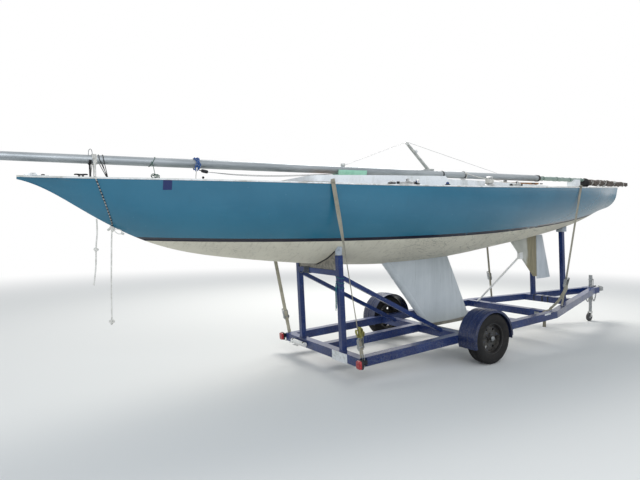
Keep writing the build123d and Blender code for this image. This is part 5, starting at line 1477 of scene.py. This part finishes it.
for name, body, hand in (("port", "wheel_port", -1), ("starboard", "wheel_starboard", 1)):
    axle_end = joint_at[body + "_spin"] * (1, 0, 1)
    hub = axle_end + (0, hand * tyre_across, 0)
    ring_points = np.stack([radius_at * np.cos(round_tyre), swell_y + 0 * round_tyre,
                            radius_at * np.sin(round_tyre)], axis=-1) + hub
    piece("tyre_tread_" + name, tyre_rubber,
          [sheet(ring_points, around=True, ring=True)], ("tyre_" + name,), 30.0, body)
    # five nuts on a circle, the hub's nose and the valve, each where a ray from outside meets the rim
    nut_angle = np.arange(5) * nut_gap + first_nut
    nut_offsets = np.stack([np.cos(nut_angle), 0 * nut_angle, np.sin(nut_angle)], axis=1) * 0.0575
    offsets = np.concatenate([nut_offsets, [(0, 0, 0), (0, 0, 0.150)]])
    starts = offsets + axle_end + (0, hand * outside_wheel, 0)
    *seats, nose, valve = met(starts, (0, -hand, 0), "rim_" + name)
    dark_nuts = [part for seat in seats for part in bolt(seat - (0, hand * 0.001, 0), (0, hand, 0), 0.0105)]
    dark_nuts.append(turned([(-0.004, 0), (-0.004, 0.006), (0.010, 0.0045), (0.026, 0.0038), (0.028, 0.0045),
                             (0.036, 0.0045), (0.038, 0)], valve, (0.1, hand, 0), 14))
    piece("wheel_nuts_" + name, rim_paint, dark_nuts, body=body)
    piece("hub_cap_" + name, cap_grey if hand < 0 else rusty, [
        turned([(-0.010, 0.0285), (0.0, 0.0285), (0.002, 0.030), (0.004, 0.0285), (0.008, 0.024),
                (0.011, 0.015), (0.012, 0.0)], nose, (0, hand, 0), 40),
    ], body=body)

# Fender trim
# Each pressed fender has a raised rib down its middle, a thinner one on both sides of it and a
# rolled outer lip.
arc = np.radians(np.linspace(2, 192, 130))
from_end = np.minimum(np.arange(130), 129 - np.arange(130))


def fender_line(radius, across):
    """An arc round the axle, from just below its level behind to below it ahead."""
    return joint_at["wheel_port_spin"] * (1, 0, 1) + np.stack(
        [radius * np.cos(arc), 0 * arc + across, radius * np.sin(arc)], axis=-1)


trim = []
for hand in (-1, 1):
    for across, breadth, tall in ((0.985, 0.026, 0.010), (0.930, 0.012, 0.006), (1.040, 0.012, 0.006)):
        trim.append(swept(fender_line(0.3565, hand * across), oval(tall, breadth, 2.4, 14), starboard,
                          np.clip(from_end / 6, 0.3, 1)))
    trim.append(round_bar(fender_line(0.352, hand * 1.0995), 0.0085, 12, starboard))
piece("fender_trim", fender_paint, trim)

# Tie-down straps
# Two polyester webbing straps over the decks, each drawn down to the rails by steel ratchets. The
# bow strap's near leg is twisted edge-on, and its spare webbing is bundled above the ratchet.
strap_width, strap_thick, strap_points = 0.050, 0.0028, 260


def webbing_finish(name, main, edge, soil):
    """Woven webbing: ribs across its run, threads along it, darker selvedges and grime."""
    band = Finish(name, specular_ior_level=0.2, sheen_weight=0.1)
    mapped = band.node("ShaderNodeUVMap", {"uv_map": "length"})
    split = band.node("ShaderNodeSeparateXYZ", {}, {"Vector": mapped}, "X")
    run = Wire(band, split.socket.node.outputs["Y"])
    weave = (run * 1500.0).sine() * (split * 2100.0 + (run * 750.0).sine() * 1.5).sine()
    grime = band.noise(9.0, 5.0, 0.65)
    colour = band.mix(band.step(grime, 0.4, 0.75) * 0.5, main, soil)
    selvedge = (split * 125.66).sine()
    colour = band.mix(band.step(selvedge, 0.9, 0.98) * 0.4, colour, edge)
    band.feed(base_color=band.mix(weave * 0.15 + 0.1, colour, "35332C"), roughness=grime * 0.15 + 0.75)
    band.feed(normal=band.bump(weave, 0.0006))
    return band


def webbing(points, faces, width, thick, count, twist=0.0):
    """A flat strap on a rounded line through points, its flat turned to each point's face."""
    line = smooth(points, count)
    towards = unit(smooth(faces, count))
    return line, swept(line, oval(width, thick, 6.0, 16), towards, twist=twist)


def ratchet(at, along, face):
    """A ratchet buckle: two cheeks, two toothed wheels on a spool, a folded lever with its grip
    and a cross bar. Lengths run along the strap, across it and out of its face."""
    along, face = unit(along), unit(face)
    across = np.cross(along, face)
    half = 0.028
    parts = []
    for side in (-across, across):
        cheek = at + side * half
        parts.append(block(cheek - face * 0.004, (0.125, 0.003, 0.030), along, face, 4.0, 0.0008))
        parts.append(block(cheek + side * 0.004 + face * 0.016 + along * 0.022, (0.120, 0.003, 0.022),
                           along + 0.12 * face, face, 4.0, 0.0008))
        teeth = oval(0.038, 0.038, 2.0, 28) * (1 + 0.07 * np.tile([1, -1], 14))[:, None]
        hub = cheek + side * 0.0075 - along * 0.028
        parts.append(swept(hub + np.linspace(-0.0025, 0.0025, 4)[:, None] * across, teeth, face))
    # the spool, the cross bar and the lever's grip: place, length past the cheeks, radius
    for middle, past, radius in ((at - along * 0.028, 0.012, 0.0085), (at + along * 0.055, 0.0, 0.0055),
                                 (at + along * 0.082 + face * 0.024, 0.003, 0.0095)):
        parts.append(rod(middle - across * (half + past), middle + across * (half + past), radius))
    return parts


beige_webbing = webbing_finish("beige_webbing", "A8A393", "7E7867", "6F695A")
cream_webbing = webbing_finish("cream_webbing", "CFC9B2", "A8A08A", "948C76")
yellow_webbing = webbing_finish("yellow_webbing", "A7A257", "7C7A3C", "6B653F")


def strap_path(foot, edge, middle, hand, lift):
    """One side of a strap: from its foot on the rail up to the deck's edge, over it, and along the
    deck to the middle, with the way its flat faces at each point."""
    (foot_x, foot_z, foot_half), (edge_x, edge_z, edge_half), (middle_x, middle_half) = foot, edge, middle
    out, slope, up = (0, hand, 0), (0, hand * 0.8, 0.6), (0, 0, 1)
    top = float(deck_top(edge_x, edge_half - 0.02)) + lift
    inner = float(deck_top(middle_x, middle_half)) + lift
    middle_top = float(deck_top(middle_x, 0.0)) + lift
    low, high = np.array([(foot_x, hand * foot_half, foot_z), (edge_x, hand * edge_half, edge_z)])
    places = [*[low + (high - low) * share for share in (0, 0.25, 0.5, 0.75)],
              (edge_x, hand * edge_half, edge_z - 0.022),
              (edge_x, hand * (edge_half - 0.003), edge_z - 0.004),
              (edge_x, hand * (edge_half - 0.014), top), (edge_x, hand * (edge_half - 0.032), top + 0.001),
              ((edge_x + middle_x) / 2, hand * (edge_half + middle_half) / 2,
               float(deck_top((edge_x + middle_x) / 2, (edge_half + middle_half) / 2)) + lift),
              (middle_x, hand * middle_half, inner), (middle_x, 0.0, middle_top)]
    faces = [out] * 6 + [slope] + [up] * 4
    return boat(places), np.array([on_boat(face) for face in faces])


share = np.linspace(0, 10, strap_points)
edge_on = np.interp(share, [0, 0.28, 0.6, 2.3, 3.2, 10], [0, 0, -0.8, -0.8, 0, 0])


def strap_sides(foot, edge, middle, lift, near_twist=0.0):
    """Both sides of a strap, near first: each side's line and its band."""
    return [webbing(*strap_path(foot, edge, middle, hand, lift), strap_width, strap_thick, strap_points,
                    twist) for hand, twist in ((-1, near_twist), (1, 0.0))]


(near_line, near_band), (far_line, far_band) = strap_sides(
    (3.092, 0.353, 0.818), (2.775, 2.2536, 0.846), (2.640, 0.2725), 0.0075, edge_on)
piece("bow_strap_near", beige_webbing, [near_band], ("bow_strap",))
piece("bow_strap_far", cream_webbing, [far_band])
buckle = ratchet(boat([3.066, -0.8245, 0.500]), near_line[4] - near_line[0], -starboard)
buckle += ratchet(boat([3.050, 0.8245, 0.600]), far_line[4] - far_line[0], starboard)
hook_keys = np.array([(3.098, 0.822, 0.420), (3.098, 0.838, 0.400), (3.098, 0.8395, 0.36),
                      (3.098, 0.838, 0.300), (3.098, 0.826, 0.2735), (3.098, 0.800, 0.272)])
for hand in (-1, 1):
    line = smooth(rig(hook_keys * (1, hand, 1)), 50)
    buckle += [round_bar(line + rig_aft * shift, 0.0085, 10, rig_aft) for shift in (-0.012, 0.012)]
# four folds of spare webbing: lean, height, breadth, distance out from the leg
folds = ((-0.35, 0.085, 0.042, 0.004), (0.28, 0.10, 0.050, 0.010), (0.75, 0.075, 0.056, 0.017),
         (-0.05, 0.11, 0.034, 0.024))
wad_sheets = []
for number, (lean, tall, wide, out) in enumerate(folds):
    base = boat([3.052, -0.829 - out, 0.585])
    tilt = math.cos(lean) * boat_up + math.sin(lean) * boat_aft
    side_way = math.cos(lean) * boat_aft - math.sin(lean) * boat_up
    loop = [base, base + tilt * tall * 0.5 + side_way * wide * 0.45,
            base + tilt * tall + side_way * wide * 0.12, base + tilt * tall * 0.96 - side_way * wide * 0.3,
            base + tilt * tall * 0.45 - side_way * wide * 0.4, base - tilt * 0.012]
    bulge = [spot - starboard * 0.006 * math.sin(step * 1.3 + number) for step, spot in enumerate(loop)]
    wad_sheets.append(swept(smooth(bulge, 60), oval(0.0022, 0.040, 6.0, 14), -starboard,
                            twist=0.25 * math.sin(number)))
wrap_turn = round_trip(39)
wrap_line = boat(np.stack([3.052 + 0.034 * np.cos(wrap_turn), -0.836 + 0.022 * np.sin(wrap_turn),
                           0.592 + 0.004 * np.sin(wrap_turn * 2)], axis=-1))
wad_sheets.append(swept(wrap_line, oval(0.0025, 0.030, 6.0, 12), boat_up, twist=math.pi / 2, ring=True))
piece("bow_strap_wad", yellow_webbing, wad_sheets)

(stern_near, near_band), (stern_far, far_band) = strap_sides(
    (7.074, 0.4145, 0.655), (7.210, 2.2302, 0.907), (7.320, 0.2725), 0.0045)
for hand, line in ((-1, stern_near), (1, stern_far)):
    buckle += ratchet(boat([7.1005, hand * 0.7075, 0.765]), line[20] - line[4], hand * starboard)
slack_path = [
    *boat([(7.104, -0.7155, 0.735), (7.085, -0.717, 0.68), (7.00, -0.716, 0.600), (6.88, -0.712, 0.510)]),
    *rig([(6.73, -0.706, 0.408), (6.70, -0.705, 0.3875), (6.672, -0.704, 0.3828), (6.60, -0.704, 0.3828),
          (6.562, -0.704, 0.3815), (6.5505, -0.704, 0.370), (6.548, -0.704, 0.30), (6.546, -0.706, 0.21),
          (6.540, -0.706, 0.145)]),
]
slack_faces = [on_boat(face) for face in (
    (-0.3, -0.9, 0.3), (-0.4, -0.6, 0.7), (-0.6, -0.2, 0.8), (-0.6, 0, 0.8), (-0.5, 0, 0.85),
    (-0.3, 0, 0.95), (0, 0, 1), (0, 0, 1), (-0.5, 0, 0.8), (-0.9, 0, 0.4), (-1, 0, 0), (-1, -0.1, 0),
    (-1, -0.3, 0))]
slack_band = webbing(slack_path, slack_faces, strap_width, 0.0024, 240)[1]
piece("stern_strap_webbing", beige_webbing,
      [near_band, far_band, slack_band], ("stern_strap",))
for hand in (-1, 1):
    seat, out = boat([7.074, hand * 0.655, 0.4145]), starboard * hand
    hook_line = smooth([seat + boat_up * 0.03, seat + boat_up * 0.004 + out * 0.010,
                        seat + out * 0.020 - boat_up * 0.001, seat + out * 0.045], 30)
    buckle.append(round_bar(hook_line, 0.0085, 10, boat_aft))
piece("ratchet_buckles", zinc, buckle)

# Tongue, jack and coupler
# The jack's sleeve is clamped to the tongue head and wound by a crank at its top; its leg ends in a yoke
# with a solid tyred wheel. Links of safety chain hang from the head beside the pressed coupler.
clamp_parts = []
open_ring = np.linspace(0.5, math.tau - 0.5, 40)[:, None]
for height in (0.300, 0.366):
    strap_ring = 0.0345 * (np.sin(open_ring) * starboard - np.cos(open_ring) * rig_aft)
    clamp_parts.append(swept(strap_ring + rig([9.060, 0, height]), oval(0.005, 0.022, 6.0, 12), plumb))
sleeve_foot = np.array([joint_at["jack_swivel"][0], 0.0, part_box("jack_sleeve")[0][2]])
collar_profile = [(-0.011, 0.0305), (-0.011, 0.0355), (0.011, 0.0355), (0.011, 0.0305)]
for height in (0.420, 0.300):
    collar_at = sleeve_foot + plumb * height
    clamp_parts.append(turned(collar_profile, collar_at, plumb, 36, ring=True))
    for side in (-starboard, starboard):
        clamp_parts += bolt(collar_at + side * 0.0350, side, 0.007)
piece("jack_clamps", zinc, clamp_parts)
link_pitch, link_wire = 0.030, 0.0072


def chain(path):
    """Oval links threaded along a line, each a quarter turn from the last."""
    length = run_along(path)
    stations = np.arange(link_pitch / 2, length[-1], link_pitch * 0.72)
    middles = np.stack([np.interp(stations, length, axis) for axis in path.T], axis=1)
    runs = unit(np.gradient(middles, axis=0))
    turn = round_trip(24)[:, None]
    along, across = np.sign(np.cos(turn)) * np.abs(np.cos(turn)) ** 0.8 * 0.5, np.sin(turn) * 0.32
    made = []
    for number, (middle, run) in enumerate(zip(middles, runs)):
        flat = starboard if number % 2 else unit(np.cross(run, starboard))
        loop = middle + (along * run + across * flat) * link_pitch
        made.append(round_bar(loop, link_wire, 8, np.cross(run, flat), ring=True))
    return made


links = []
sag = np.linspace(-1, 1, 60)[:, None]
for hand, drop_by, spread in ((-1, 0.150, 0.16), (1, 0.17, 0.15)):
    start, end = rig([(8.990, hand * 0.062, 0.2745), (8.995 + spread, hand * 0.050, 0.2745)])
    links += chain(start + (end - start) * (sag + 1) / 2 - plumb * drop_by * (1 - sag ** 2))
piece("safety_chains", galvanised, links)
crank_low, crank_high = [np.array(corner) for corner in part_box("jack_crank")]
crank_start = crank_low * (1, 0, 0) + plumb * (crank_high[2] - 0.007)
crank_turn = crank_start + (0.061, 0, 0)
crank_drop = crank_turn - plumb * 0.1318
crank_path = smooth([crank_start, crank_start + (0.045, 0, 0), crank_turn - (0.003, 0, 0.003),
                     crank_turn - plumb * 0.018, crank_drop + plumb * 0.018, crank_drop + (0.003, 0, 0.003),
                     crank_drop + (0.018, 0, 0), crank_drop + (0.085, 0, 0)], 90)
piece("crank_bar", zinc,
      [round_bar(crank_path, 0.0125, 18, starboard)], ("jack_crank",))
grip_rows = [(0.0, 0.0065), (0.001, 0.0105)]
grip_rows += [(0.004 + 0.002 * row, 0.0112 - 0.0008 * (row % 2)) for row in range(33)]
grip_rows += [(0.072, 0.0112), (0.077, 0.008), (0.078, 0.0)]
piece("crank_grip", rubber, [
    turned(grip_rows, crank_drop + (0.010, 0, 0), (1, 0, 0), 32),
    turned([(0, 0.0065), (0.001, 0.0105), (0.046, 0.0105), (0.047, 0.0065)], crank_start + (0.002, 0, 0),
           (1, 0, 0), 24),
])
piece("coupler_latch", zinc, [
    block(rig([9.375, 0, 0.3535]), (0.10, 0.026, 0.014), rig_aft, rig_up, 4.0, 0.004),
    block(rig([9.330, 0, 0.366]), (0.05, 0.018, 0.020), rig_aft + 0.5 * rig_up, rig_up, 4.0, 0.003),
    rod(rig([9.320, -0.022, 0.356]), rig([9.320, 0.022, 0.356]), 0.005),
    turned([(0, 0), (0, 0.020), (0.006, 0.018), (0.010, 0.008), (0.012, 0)], rig([9.260, 0, 0.3475]),
           rig_up, 28),
])
wheel_at = joint_at["jack_wheel_spin"]
piece("caster_hub", zinc, [
    turned([(0.0195, 0.030), (0.0215, 0.028), (0.0215, 0.016), (0.0195, 0.015)], wheel_at, side, 28,
           ring=True) for side in (-starboard, starboard)
], body="jack_wheel")
piece("caster_nuts", zinc, [
    part for side in (-starboard, starboard) for part in bolt(wheel_at + side * 0.0330, side, 0.0085)
], body="jack_fork")
